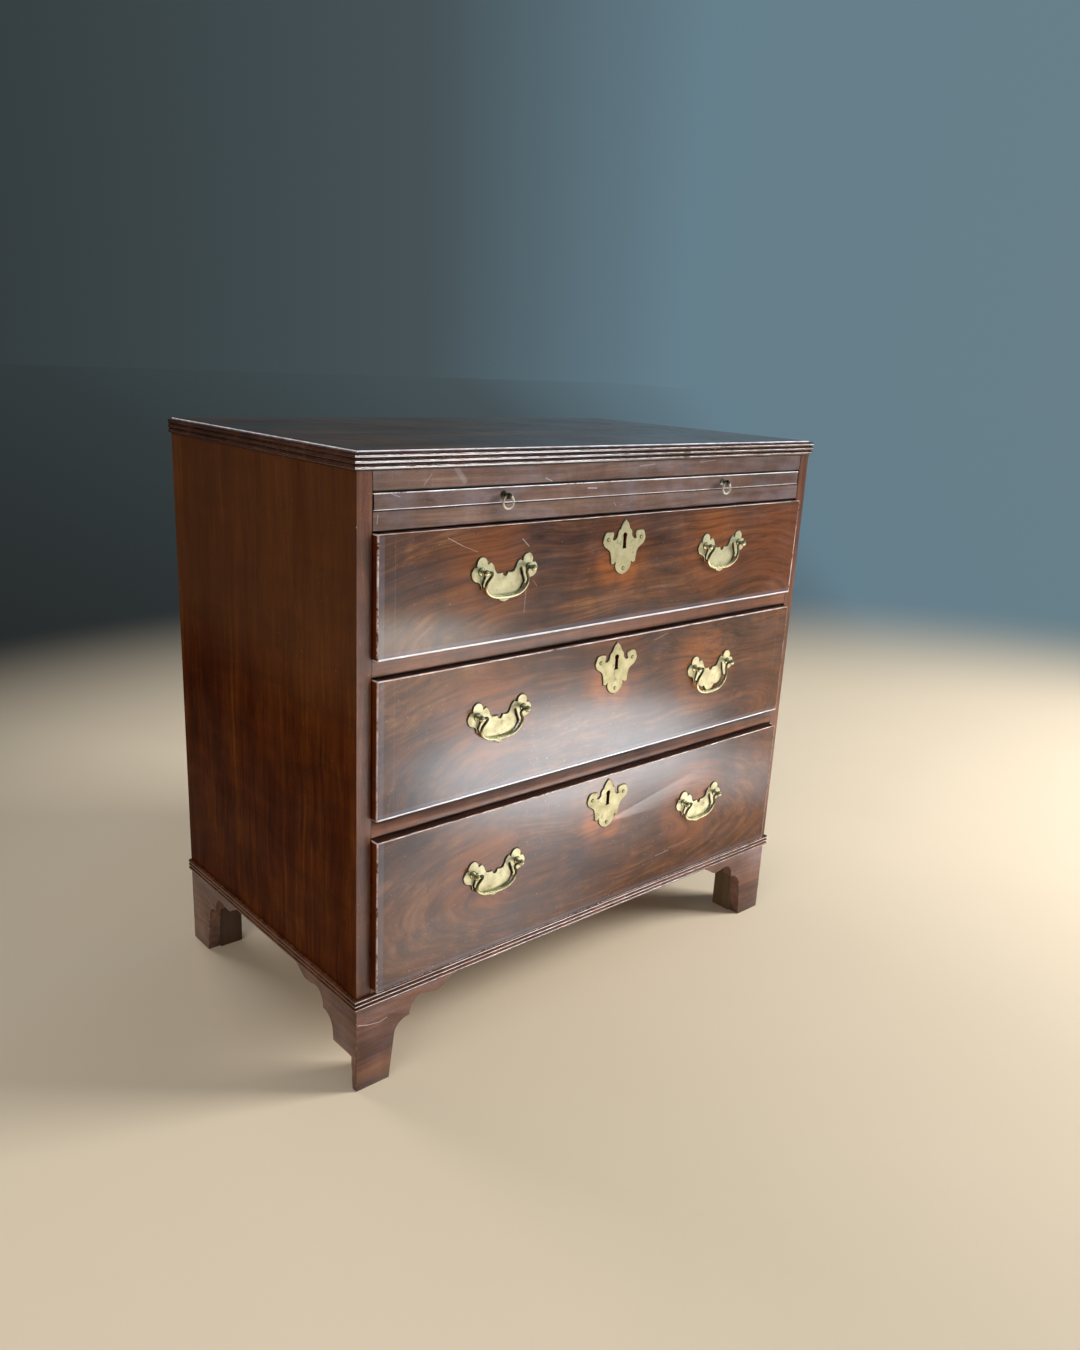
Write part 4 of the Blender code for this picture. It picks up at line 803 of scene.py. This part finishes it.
WINDOW_WAY = (0.75, -0.66, 0.0)
BACKDROP = ((0.0, (0.014, 0.014, 0.013)), (0.275, (0.034, 0.045, 0.048)), (0.45, (0.062, 0.086, 0.096)),
            (0.56, (0.130, 0.210, 0.258)), (0.725, (0.140, 0.215, 0.250)), (1.0, (0.190, 0.230, 0.245)))
FLOOR = (0.62, 0.505, 0.37)
FLOOR_CENTRE = (0.60, -0.85, 0.0)
FLOOR_FADE = (1.6, 3.2)
WINDOW_PLACE = (2.5, -1.9, 1.75)
WINDOW_TARGET = (0.0, -0.15, 0.4)


def backdrop(t, way):
    """The backdrop's tone in a direction: brighter towards the window, dim on the other side."""
    return t.ramp(t.scaled(t.measure("DOT_PRODUCT", way, WINDOW_WAY), 0.5, 0.5), BACKDROP)


def make_floor():
    """A plain pale floor, which turns into the backdrop's tone well away from the chest."""
    t = new_material("floor")
    away = t.range(t.far(t.place, FLOOR_CENTRE), *FLOOR_FADE)
    patch = t.noise(t.place, 2.5, 3.0)
    colour = t.mix(patch, *(tuple(c * share for c in FLOOR) for share in (0.97, 1.03)))
    near = t.node("ShaderNodeBsdfPrincipled", {"Base Color": colour, "Roughness": 0.65})
    way = t.vector("NORMALIZE", t.vector("SUBTRACT", t.place, FLOOR_CENTRE))
    distant = t.node("ShaderNodeEmission", {"Color": backdrop(t, way), "Strength": 1.0})
    both = t.node("ShaderNodeMixShader", {0: away})
    t.links.new(near.outputs[0], both.inputs[1])
    t.links.new(distant.outputs[0], both.inputs[2])
    out = t.node("ShaderNodeOutputMaterial")
    t.links.new(both.outputs[0], out.inputs["Surface"])
    shape = bmesh.new()
    bmesh.ops.create_grid(shape, x_segments=1, y_segments=1, size=30.0)
    object_from(shape, "floor", [t.material])


def make_world():
    world = bpy.data.worlds.new("world")
    t = Tree(world)
    way = t.node("ShaderNodeTexCoord").outputs["Generated"]
    background = t.nodes["Background"]
    t.links.new(backdrop(t, way), background.inputs["Color"])
    background.inputs["Strength"].default_value = 1.0
    bpy.context.scene.world = world


def area_light(name, place, target, size, power, colour, diffuse, glossy=True):
    lamp = bpy.data.lights.new(name, "AREA")
    lamp.shape = "RECTANGLE"
    lamp.size, lamp.size_y = size
    lamp.energy = power
    lamp.color = colour
    made = bpy.data.objects.new(name, lamp)
    made.location = place
    made.rotation_euler = (Vector(target) - Vector(place)).to_track_quat("-Z", "Y").to_euler()
    made.visible_camera = False
    made.visible_diffuse = diffuse
    made.visible_glossy = glossy
    bpy.context.scene.collection.objects.link(made)
    return made


def sheen_panel(height, name, centre, size, turn, glow, edge, receivers, tone):
    """A panel lying over the floor, bright in its middle, seen only as a sheen in what receives it."""
    power = glow * math.pi * size[0] * size[1]
    made = area_light(name, (*centre, height), (*centre, 1.0), size, power, tone, False)
    made.rotation_euler = (math.pi, 0.0, math.radians(turn))
    made.light_linking.receiver_collection = receivers
    t = Tree(made.data)
    place = t.node("ShaderNodeNewGeometry").outputs["Parametric"]
    place = t.vector("MULTIPLY", place, (1.0, 1.0, 0.0))
    fade = t.range(t.far(place, (0.5, 0.5, 0.0)), 0.5, 0.5 - edge)
    t.links.new(fade, t.nodes["Emission"].inputs["Strength"])


DAYLIGHT = (0.97, 0.99, 1.0)
COOL_DAY = (0.93, 0.97, 1.0)
PANEL_STEP = 0.003
POLISHED = bpy.data.collections.new("polished")
METAL = bpy.data.collections.new("metal")
make_floor()
make_world()
area_light("window", WINDOW_PLACE, WINDOW_TARGET, (1.2, 1.4), 190.0, DAYLIGHT, True, False)
area_light("fill", (-2.4, -1.0, 1.6), (-0.3, 0.0, 0.4), (1.8, 1.8), 34.0, (1.0, 0.97, 0.93), True, False)
area_light("back_fill", (-0.6, 2.8, 1.8), (0.0, 0.2, 0.4), (2.0, 1.6), 60.0, (0.97, 0.98, 1.0), True, False)
for receivers, power in ((POLISHED, 40.0), (METAL, 90.0)):
    glint = area_light("glint_" + receivers.name, WINDOW_PLACE, WINDOW_TARGET, (0.9, 1.1), power, DAYLIGHT,
                       False)
    glint.light_linking.receiver_collection = receivers
# Name, centre, size, turn in degrees, glow, edge, what shows it, tone
SHEENS = (
    ("sheen_middle", (0.66, -0.99), (1.30, 0.66), -14, 18.0, 0.26, POLISHED, COOL_DAY),
    ("sheen_wide", (0.60, -1.17), (1.35, 1.40), 0, 5.5, 0.42, POLISHED, COOL_DAY),
    ("sheen_left", (0.88, -2.03), (1.05, 0.80), 0, 23.0, 0.42, POLISHED, (1.0, 0.93, 0.84)),
    ("sheen_right", (0.85, -0.66), (0.60, 0.40), 0, 5.5, 0.42, POLISHED, COOL_DAY),
    ("sheen_low", (0.12, -0.66), (1.20, 0.56), -8, 5.0, 0.42, POLISHED, COOL_DAY),
    ("sheen_near", (-0.10, -0.44), (0.80, 0.26), 0, 4.0, 0.42, POLISHED, (1.0, 0.97, 0.93)),
    ("sheen_brass", (0.62, -1.02), (2.20, 1.50), -38, 1.8, 0.42, METAL, (1.0, 0.985, 0.97)),
)
for level, sheen in enumerate(SHEENS, 1):
    sheen_panel(PANEL_STEP * level, *sheen)


# Woodwork

def repaint(node, material):
    for place in NODES[node].material_slots:
        place.material = material


def welded(node):
    """A CAD node's mesh in one skin, with its flat faces whole."""
    shape = bmesh.new()
    shape.from_mesh(NODES[node].data)
    bmesh.ops.remove_doubles(shape, verts=shape.verts[:], dist=2e-6)
    bmesh.ops.dissolve_limit(shape, angle_limit=0.01, verts=shape.verts[:], edges=shape.edges[:])
    return shape


def sides_touched(point, low, high):
    return sum(min(abs(point[k] - low[k]), abs(point[k] - high[k])) < 1e-4 for k in range(3))


def dress_board(node, width, arris, parts=(), upright=None, lower=None):
    """A CAD board with its outside arrises rounded and given a material of their own: worn wood, some with a
    painted highlight, or painted shade.

    parts give faces by (axis, sign) a wood of their own; upright and lower are the materials of the upright
    and the lower arrises."""
    shape = welded(node)
    low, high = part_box(node)
    edges = []
    for edge in shape.edges:
        if len(edge.link_faces) == 2 and edge.is_convex and edge.calc_face_angle(0.0) > 0.5:
            if sides_touched((edge.verts[0].co + edge.verts[1].co) / 2, low, high) >= 2:
                edges.append(edge)
    rounded(shape, edges, width, 3, material=1, clamp_overlap=True, loop_slide=True)
    for face in shape.faces:
        for index, (axis, sign, _) in enumerate(parts):
            if face.material_index == 0 and face.normal[axis] * sign > 0.9:
                face.material_index = 2 + index
    materials = [MATERIALS[node], arris] + [part[2] for part in parts]
    for rubbing, chosen in ((upright, lambda n: abs(n.z) < 0.25), (lower, lambda n: n.z < -0.25)):
        if rubbing:
            for face in shape.faces:
                if face.material_index == 1 and chosen(face.normal):
                    face.material_index = len(materials)
            materials.append(rubbing)
    piece = object_from(shape, node + "_dressed", materials, 50)
    even = piece.modifiers.new("even", "WEIGHTED_NORMAL")
    even.keep_sharp = True
    even.weight = 100
    return stand_for(piece, node, "mahogany")


def reed_arc(centre, half):
    """A reed's half round from below, with a narrow middle facet on its crown."""
    angles = [-math.pi / 2 + math.pi * i / REED_STEPS for i in range(REED_STEPS + 1)]
    angles[CROWN_STEP], angles[CROWN_STEP + 1] = -CROWN_ANGLE, CROWN_ANGLE
    return [(centre[0] + REED_DEPTH * math.cos(a), centre[1] + half * math.sin(a)) for a in angles]


def reeded(node, inner):
    """A reeded moulding round the front and both sides, mitred; the front crowns are worn and painted with a
    highlight, the side crowns in painted shade.
    """
    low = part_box(node)[0].z
    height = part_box(node)[1].z - low
    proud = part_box(node)[1].x - HALF_WIDTH
    pitch = height / REEDS
    section = [(inner, low + height), (inner, low)]
    for reed in range(REEDS):
        middle = (proud - REED_DEPTH, low + (reed + 1 / 2) * pitch)
        section += reed_arc(middle, pitch / 2)[:None if reed == REEDS - 1 else -1]
    shape = bmesh.new()
    rings = []
    stations = [(-1, 1 - i / SIDE_STATIONS) for i in range(SIDE_STATIONS + 1)]
    stations += [(0, i / FRONT_STATIONS) for i in range(FRONT_STATIONS + 1)]
    stations += [(1, i / SIDE_STATIONS) for i in range(SIDE_STATIONS + 1)]
    for side, share in stations:
        ring = []
        for d, z in section:
            if side == 0:
                x, y = (HALF_WIDTH + d) * (2 * share - 1), FRONT_Y - d
            else:
                x, y = side * (HALF_WIDTH + d), FRONT_Y - d + (BACK_Y - FRONT_Y + d) * share
            if d > inner + 1e-4:
                dent = DENT * max(0.0, noise.noise(Vector((x, y, z)) * DENT_SCALE))
                x, y = (x, y + dent) if side == 0 else (x - side * dent, y)
            ring.append((x, y, z))
        if rings and math.dist(rings[-1][0], ring[0]) < 1e-6:
            continue
        rings.append(ring)
    add_rings(shape, rings)
    shape.faces.ensure_lookup_table()
    shape.normal_update()
    # Front crowns get wear with a painted highlight, side crowns painted shade
    crowns = {2 + REED_STEPS * reed + CROWN_STEP for reed in range(REEDS)}
    for i in range((len(rings) - 1) * len(section)):
        if i % len(section) in crowns:
            shape.faces[i].material_index = 1 if abs(shape.faces[i].normal.x) < 0.5 else 2
    materials = [MOULDING_WOODS[node], REED_CROWN_PAINTED_HIGHLIGHT, REED_CROWN_PAINTED_SHADE]
    return stand_for(object_from(shape, node + "_reeds", materials, 60), node, "mahogany")


def bracket_outline():
    """A bracket seen from its face, as (distance from the corner, height) pairs."""
    leg_z, cusp_z, notch_z, low_z = (FEET_TOP - drop for _, drop in (LEG_SHOULDER, CUSP, NOTCH, WING_LOW))
    outline = [(0.0, 0.0), (LEG_WIDTH, 0.0)]
    outline += arc((CUSP[0], leg_z), CUSP[0] - LEG_SHOULDER[0], cusp_z - leg_z, math.pi, math.pi / 2, 12)
    outline += arc((NOTCH[0], cusp_z), NOTCH[0] - CUSP[0], notch_z - cusp_z, math.pi, math.pi / 2, 12)[1:]
    wing = [(NOTCH[0], notch_z), (WING_LOW[0], low_z),
            ((WING_LOW[0] + BRACKET_LENGTH) / 2, (low_z + FEET_TOP) / 2), (BRACKET_LENGTH, FEET_TOP)]
    return outline + smooth_curve(wing, 8)[1:] + [(0.0, FEET_TOP)]


def split_outline():
    """The left front foot's side bracket, whose lower part is lost but for a sliver at the corner."""
    edge = FEET_TOP - SPLIT_DROP
    torn = [(0.0, 0.0), (SPLIT_SLIVER - 0.003, 0.0), (SPLIT_SLIVER - 0.0015, 0.012),
            (SPLIT_SLIVER - 0.0022, 0.024), (SPLIT_SLIVER, 0.036), (SPLIT_SLIVER, edge),
            (0.024, edge + 0.0006), (0.038, edge + 0.0002)]
    whole = bracket_outline()
    edge_z = edge + 0.0004
    share = edge_z / whole[2][1]
    return torn + [(LEG_WIDTH + (whole[2][0] - LEG_WIDTH) * share, edge_z)] + whole[2:]


def bracket(name, outline, place, materials):
    """A bracket with a mitred corner. place turns (reach, depth, height) into a point."""
    shape = bmesh.new()
    outer = [place(reach, 0.0, z) for reach, z in outline]
    inner = [place(max(reach, BRACKET_THICK), BRACKET_THICK, z) for reach, z in outline]
    add_rings(shape, [outer, inner])
    bmesh.ops.recalc_face_normals(shape, faces=shape.faces[:])
    shape.faces.ensure_lookup_table()
    rim = [e for e in shape.edges if e.calc_face_angle(0.0) > 0.4 and e.is_convex
           and all(min(math.dist(v.co, p) for p in outer) < 1e-6 for v in e.verts)]
    rounded(shape, rim, BRACKET_ARRIS, 2, material=1, clamp_overlap=True)
    bmesh.ops.dissolve_degenerate(shape, dist=1e-5, edges=shape.edges[:])
    return object_from(shape, name, materials, 40)


def make_foot(node, side, inward):
    """A foot's face bracket, side bracket and glue block."""
    corner_y = FRONT_Y if inward == 1 else BACK_Y
    whole = bracket_outline()
    side_outline = split_outline() if node == "foot_front_left" else whole
    rear = [(0.0, 0.0), (REAR_FOOT, 0.0), (REAR_FOOT, REAR_EDGE), (REAR_LENGTH, FEET_TOP), (0.0, FEET_TOP)]
    face_outline = whole if inward == 1 else rear

    def on_face(reach, depth, z):
        return side * (HALF_WIDTH - reach), corner_y + inward * depth, z

    def on_side(reach, depth, z):
        return side * (HALF_WIDTH - depth), corner_y + inward * reach, z

    face_wood = FOOT_CRACKED if node == "foot_front_left" else FOOT_WOOD
    pieces = [bracket(node + "_face", face_outline, on_face, [face_wood, WORN]),
              bracket(node + "_side", side_outline, on_side, [FOOT_SIDE_WOOD, WORN])]
    shape = bmesh.new()
    length = SPLIT_BLOCK_LENGTH if node == "foot_front_left" else BLOCK_LENGTH
    x_span = sorted(side * (HALF_WIDTH - BRACKET_THICK - reach) for reach in (0.0, BLOCK_WIDTH))
    y_span = sorted(corner_y + inward * (BRACKET_THICK + reach) for reach in (0.0, length))
    add_rings(shape, [[(x, y, z) for x, y in ((x_span[0], y_span[0]), (x_span[1], y_span[0]),
                                             (x_span[1], y_span[1]), (x_span[0], y_span[1]))]
                      for z in (0.0005, FEET_TOP - 0.0005)])
    rounded(shape, shape.edges[:], BLOCK_ARRIS, 2)
    block_wood = RAW_PINE if inward == 1 else STAINED_PINE
    pieces.append(object_from(shape, node + "_block", [block_wood], 40))
    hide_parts(node)
    for piece in pieces:
        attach(piece, BODY_OF[node])
        POLISHED.objects.link(piece)


# The rails' arrises are painted shade
for board in ("top_rail", "slide_rail", "divider_upper", "divider_lower"):
    dress_board(board, RAIL_ARRIS, GAP_SHADE)
for board in ("side_left", "side_right"):
    dress_board(board, RAIL_ARRIS, WORN_DARK, ((1, -1, STILE),))
# The top's arrises: wear with a painted sky glint
POLISHED.objects.unlink(dress_board("top_board", TOP_ARRIS, WORN_ARRIS_PAINTED_GLINT))
# The slide's edge: arrises with a painted sky glint, its top face and upright arrises painted shade
dress_board("slide_edge", SLIDE_ARRIS, WORN_ARRIS_PAINTED_GLINT, ((2, 1, GAP_SHADE),), GAP_SHADE)
# Drawer fronts: arrises worn with a painted highlight, lower face painted shade, and on the upper two a
# painted sky glint on the lower arris
for number in DRAWERS:
    dress_board(f"drawer_{number}_front", DRAWER_ARRIS, WORN_ARRIS_PAINTED_HIGHLIGHT,
                ((2, 1, FRONT_TOP), (2, -1, GAP_SHADE), (0, 1, FRONT_END), (0, -1, FRONT_END), (1, 1, OAK_DEEP)),
                WORN_RED, WORN_RED if number == 3 else WORN_ARRIS_PAINTED_GLINT)
reeded("top_moulding", -TOP_LET_IN)
reeded("base_moulding", GAP)
for node, (side, inward) in FEET.items():
    make_foot(node, side, inward)


# Unpolished parts keep their CAD shapes
KEPT = (
    (raw_wood("oak_long", "X", 41, OAKEN),
     ["slide_panel"] + [f"drawer_{number}_{part}" for number in DRAWERS for part in ("back", "bottom")]),
    (OAK_DEEP,
     ["slide_bearers"] + [f"drawer_{number}_side_{label}" for number in DRAWERS for label in SIDES]),
    (raw_wood("pine_long", "X", 43, PINEN), ["dust_frame_upper", "dust_frame_lower", "case_bottom"]),
    (raw_wood("pine_back", "Z", 44, PINEN, BACK_BOARD), ["back_panel"]),
    (iron("lock_iron"), [f"drawer_{number}_{part}" for number in DRAWERS for part in ("lock", "bolt")]),
)
for material, nodes in KEPT:
    for node in nodes:
        repaint(node, material)


# Brass

def plate_outline():
    """A backplate's outline about the middle of the line between its posts."""
    lobe = (PLATE_LOBE_SHARE[0] * PLATE_HALF, PLATE_LOBE_SHARE[1] * PLATE_DROP)
    half = sized(PLATE_CROWN_SHARES, PLATE_HALF, PLATE_DROP)
    half += smooth_curve(sized(PLATE_SHOULDER_SHARES, PLATE_HALF, PLATE_DROP), 4)[1:]
    half += arc(lobe, PLATE_LOBE_R, PLATE_LOBE_R, math.radians(185), math.radians(-25), 14)
    half += smooth_curve(sized(PLATE_EAR_SHARES, PLATE_HALF, PLATE_DROP), 4)
    for shares in (PLATE_BARB_SHARES, PLATE_APRON_SHARES):
        half += smooth_curve(sized(shares, PLATE_HALF, PLATE_DROP), 4)[1:]
    return cleaned(mirrored(half))


def escutcheon_outline():
    half = [(0.0, ESC_RISE), *sized(ESC_FINIAL_SHARES, ESC_HALF, ESC_DROP)]
    for shares in (ESC_SHOULDER_SHARES, ESC_CURL_SHARES, ESC_EAR_SHARES):
        half += smooth_curve(sized(shares, ESC_HALF, ESC_DROP), 4)[1:]
    half += sized(ESC_BARB_SHARES, ESC_HALF, ESC_DROP)
    half += smooth_curve(sized(ESC_LOBE_SHARES, ESC_HALF, ESC_DROP), 4)[1:]
    return cleaned(mirrored(half))


def keyhole_outline():
    """A round head over a slot that widens to its foot."""
    head = KEYHOLE_HALF_HEIGHT - KEYHOLE_R
    foot = KEYHOLE_HALF_HEIGHT - KEYHOLE_SLOT_HALF
    lean = math.asin(KEYHOLE_SLOT_HALF / KEYHOLE_R)
    top = arc((0.0, head), KEYHOLE_R, KEYHOLE_R, lean - math.pi / 2, 3 * math.pi / 2 - lean, 18)
    return top + [(-KEYHOLE_SLOT_HALF, -foot), (-KEYHOLE_R, -KEYHOLE_HALF_HEIGHT),
                  (KEYHOLE_R, -KEYHOLE_HALF_HEIGHT), (KEYHOLE_SLOT_HALF, -foot)]


def sheet_plate(shape, outline, centre, thick, hole=None):
    """A cast plate on a face, with a filed chamfer round its front and a dark rim round its back, dirty and
    with a painted contact shadow.
    """
    x, y, z = centre
    back, front = y - GAP, y - GAP - thick

    def ring(points, depth):
        return [(x + a, depth, z + b) for a, b in points]

    rim = add_rings(shape, [ring(inset(outline, -SOIL_AND_SHADOW_WIDTH), back), ring(outline, back - thick * 0.45),
                            ring(outline, front + CHAMFER), ring(inset(outline, CHAMFER), front)],
                    caps=False, material=1)
    shape.faces.ensure_lookup_table()
    # The flared band at the back is the dark rim: dirty, with a painted contact shadow
    for i in range(len(shape.faces) - 3 * len(outline), len(shape.faces) - 2 * len(outline)):
        shape.faces[i].material_index = 2
    inner = None
    if hole:
        inner = add_rings(shape, [ring(hole, back), ring(hole, front)], caps=False, material=1)
    for end in (0, -1):
        borders = [rim[end]] + ([inner[end]] if inner else [])
        edges = []
        for border in borders:
            for a, b in zip(border, border[1:] + border[:1]):
                edges.append(shape.edges.get((a, b)))
        bmesh.ops.triangle_fill(shape, use_beauty=True, use_dissolve=False, edges=edges)


def cast(shape, node, materials, smooth):
    """Ends a brass piece, which stands for its node."""
    return stand_for(object_from(shape, node + "_fine", materials, smooth), node, "brass")


def bail_drop(number, label):
    return LONG_BAIL_DROP if (number, label) == LONG_BAIL else BAIL_DROP


def make_handle(number, label):
    """A backplate with two ball-headed posts, their shanks and their nuts."""
    node = f"drawer_{number}_handle_{label}"
    centre = handle_centre(number, label)
    shape = bmesh.new()
    sheet_plate(shape, plate_outline(), centre, PLATE_THICK)
    front = GAP + PLATE_THICK
    nut = -(FRONT_THICK + GAP)
    tail = nut - NUT_THICK
    collar = [(front * 0.5, POST_COLLAR_R), (front + 0.0009, POST_COLLAR_R),
              (front + 0.0013, POST_COLLAR_R - 0.0004), (front + 0.0016, POST_NECK_R + 0.0006),
              (front + 0.0022, POST_NECK_R)]
    shank = [(depth, POST_SHANK_R) for depth in (tail - SHANK_END, tail, nut, front * 0.5)]
    posts = [(centre.x - POST_SPREAD, centre.y, centre.z), (centre.x + POST_SPREAD, centre.y, centre.z)]
    for post in posts:
        lathe(shape, post, collar + ball(POST_REACH, POST_HEAD_R, POST_NECK_R), material=3)
        lathe(shape, post, shank, 12)
        lathe(shape, post, [(tail, NUT_R - NUT_EDGE), (tail + NUT_EDGE, NUT_R), (nut - NUT_EDGE, NUT_R),
                            (nut, NUT_R - NUT_EDGE)], 6)
    rings = [(x, z, POST_COLLAR_R + 0.0002) for x, _, z in posts]
    # Painted shadows of the bail's limbs on the plate, set 3 mm to the left, away from the light
    streaks = []
    for side in (-1, 1):
        limb = [(centre.x + side * across * POST_SPREAD - 0.0030, centre.z + down * bail_drop(number, label))
                for across, down in BAIL_SHARES[2:9:2]]
        streaks += zip(limb, limb[1:], (0.0034, 0.0030, 0.0022))
    seed = 40 + number * 4 + (label == "left")
    metal = brass(node, seed, PLATE_BRASS, 0.40, (0.38, 0.29), rings, streaks)
    return cast(shape, node, [metal, PLATE_EDGE, SOIL_AND_SHADOW_RIM, HEAD_BRASS], 28)


def make_bail(number, label):
    """A swan-neck bail: pins in the posts, an inward crook, and a belly that swells to its middle."""
    node = f"drawer_{number}_bail_{label}"
    pivot = PIVOTS[node + "_lift"]
    drop = bail_drop(number, label)
    shares = [(POST_SPREAD - GAP, 0.0, BAIL_PIN_R)]
    for (across, down), swell in zip(BAIL_SHARES, BAIL_SWELL_SHARES):
        shares.append((across * POST_SPREAD, down * drop, BAIL_LIMB_R + (BAIL_BELLY_R - BAIL_LIMB_R) * swell))
    shares += [(-a, b, r) for a, b, r in reversed(shares[:-1])]
    path = [shares[0]] + smooth_curve(shares[1:-1], 4) + [shares[-1]]
    rings = []
    for i, (a, b, radius) in enumerate(path):
        before, after = path[max(i - 1, 0)], path[min(i + 1, len(path) - 1)]
        run, climb = after[0] - before[0], after[1] - before[1]
        length = math.hypot(run, climb)
        middle_y = pivot.y + BAIL_LEAN * math.sin(math.pi / 2 * max(0.0, -b / drop))
        ring = []
        for angle in round_angles(BAIL_SIDES):
            out, fore = radius * math.cos(angle), radius * math.sin(angle)
            ring.append((pivot.x + a - out * climb / length, middle_y + fore,
                         pivot.z + b + out * run / length))
        rings.append(ring)
    shape = bmesh.new()
    add_rings(shape, rings)
    # Painted shade, with oxide, darkens the bail from these heights upward
    heights = (pivot.z - drop * 0.75, pivot.z - drop * 0.45)
    metal = brass(node, 32 + number, RUBBED_BRASS, 0.20, (0.26, 0.16), below=heights)
    return cast(shape, node, [metal], 50)


def make_escutcheon(number):
    node = f"drawer_{number}_escutcheon"
    centre = Vector((0.0, front_box(number)[0].y, keyhole_z(number)))
    shape = bmesh.new()
    sheet_plate(shape, escutcheon_outline(), centre, ESC_THICK, keyhole_outline())
    front = GAP + ESC_THICK
    pins = [(x, centre.y, centre.z + rise) for x, rise in sized(ESC_PIN_SHARES, ESC_HALF, ESC_DROP)]
    for pin in pins:
        head = [(front * 0.5, PIN_HEAD_R), (front + PIN_HEAD_THICK * 0.3, PIN_HEAD_R),
                (front + PIN_HEAD_THICK * 0.75, PIN_HEAD_R * 0.72),
                (front + PIN_HEAD_THICK, PIN_HEAD_R * 0.3)]
        lathe(shape, pin, head, 20)
    rings = [(x, z, PIN_HEAD_R + 0.0003) for x, _, z in pins]
    metal = brass(node, 60 + number, ESC_BRASS, 0.40, (0.42, 0.30), rings)
    return cast(shape, node, [metal, PLATE_EDGE, SOIL_AND_SHADOW_RIM], 28)


def make_ring(label):
    """A ring hanging in its eye, lifted so that its bend clears the bore."""
    node = "ring_" + label
    pivot = PIVOTS[f"slide_ring_{label}_swing"]
    middle = pivot.z + RING_LIFT - RING_R
    rings = []
    for around in round_angles(RING_STEPS):
        ring = []
        for angle in round_angles(RING_SIDES):
            radius = RING_R + RING_WIRE_R * math.cos(angle)
            ring.append((pivot.x + radius * math.sin(around), pivot.y + RING_WIRE_R * math.sin(angle),
                         middle + radius * math.cos(around)))
        rings.append(ring)
    shape = bmesh.new()
    add_rings(shape, rings, closed=True)
    return cast(shape, node, [RING_BRASS], 60)


for number in DRAWERS:
    make_escutcheon(number)
    for label in SIDES:
        make_handle(number, label)
        make_bail(number, label)
for label in SIDES:
    make_ring(label)
    METAL.objects.link(NODES["slide_pull_" + label])
    repaint("slide_pull_" + label, PULL_BRASS)
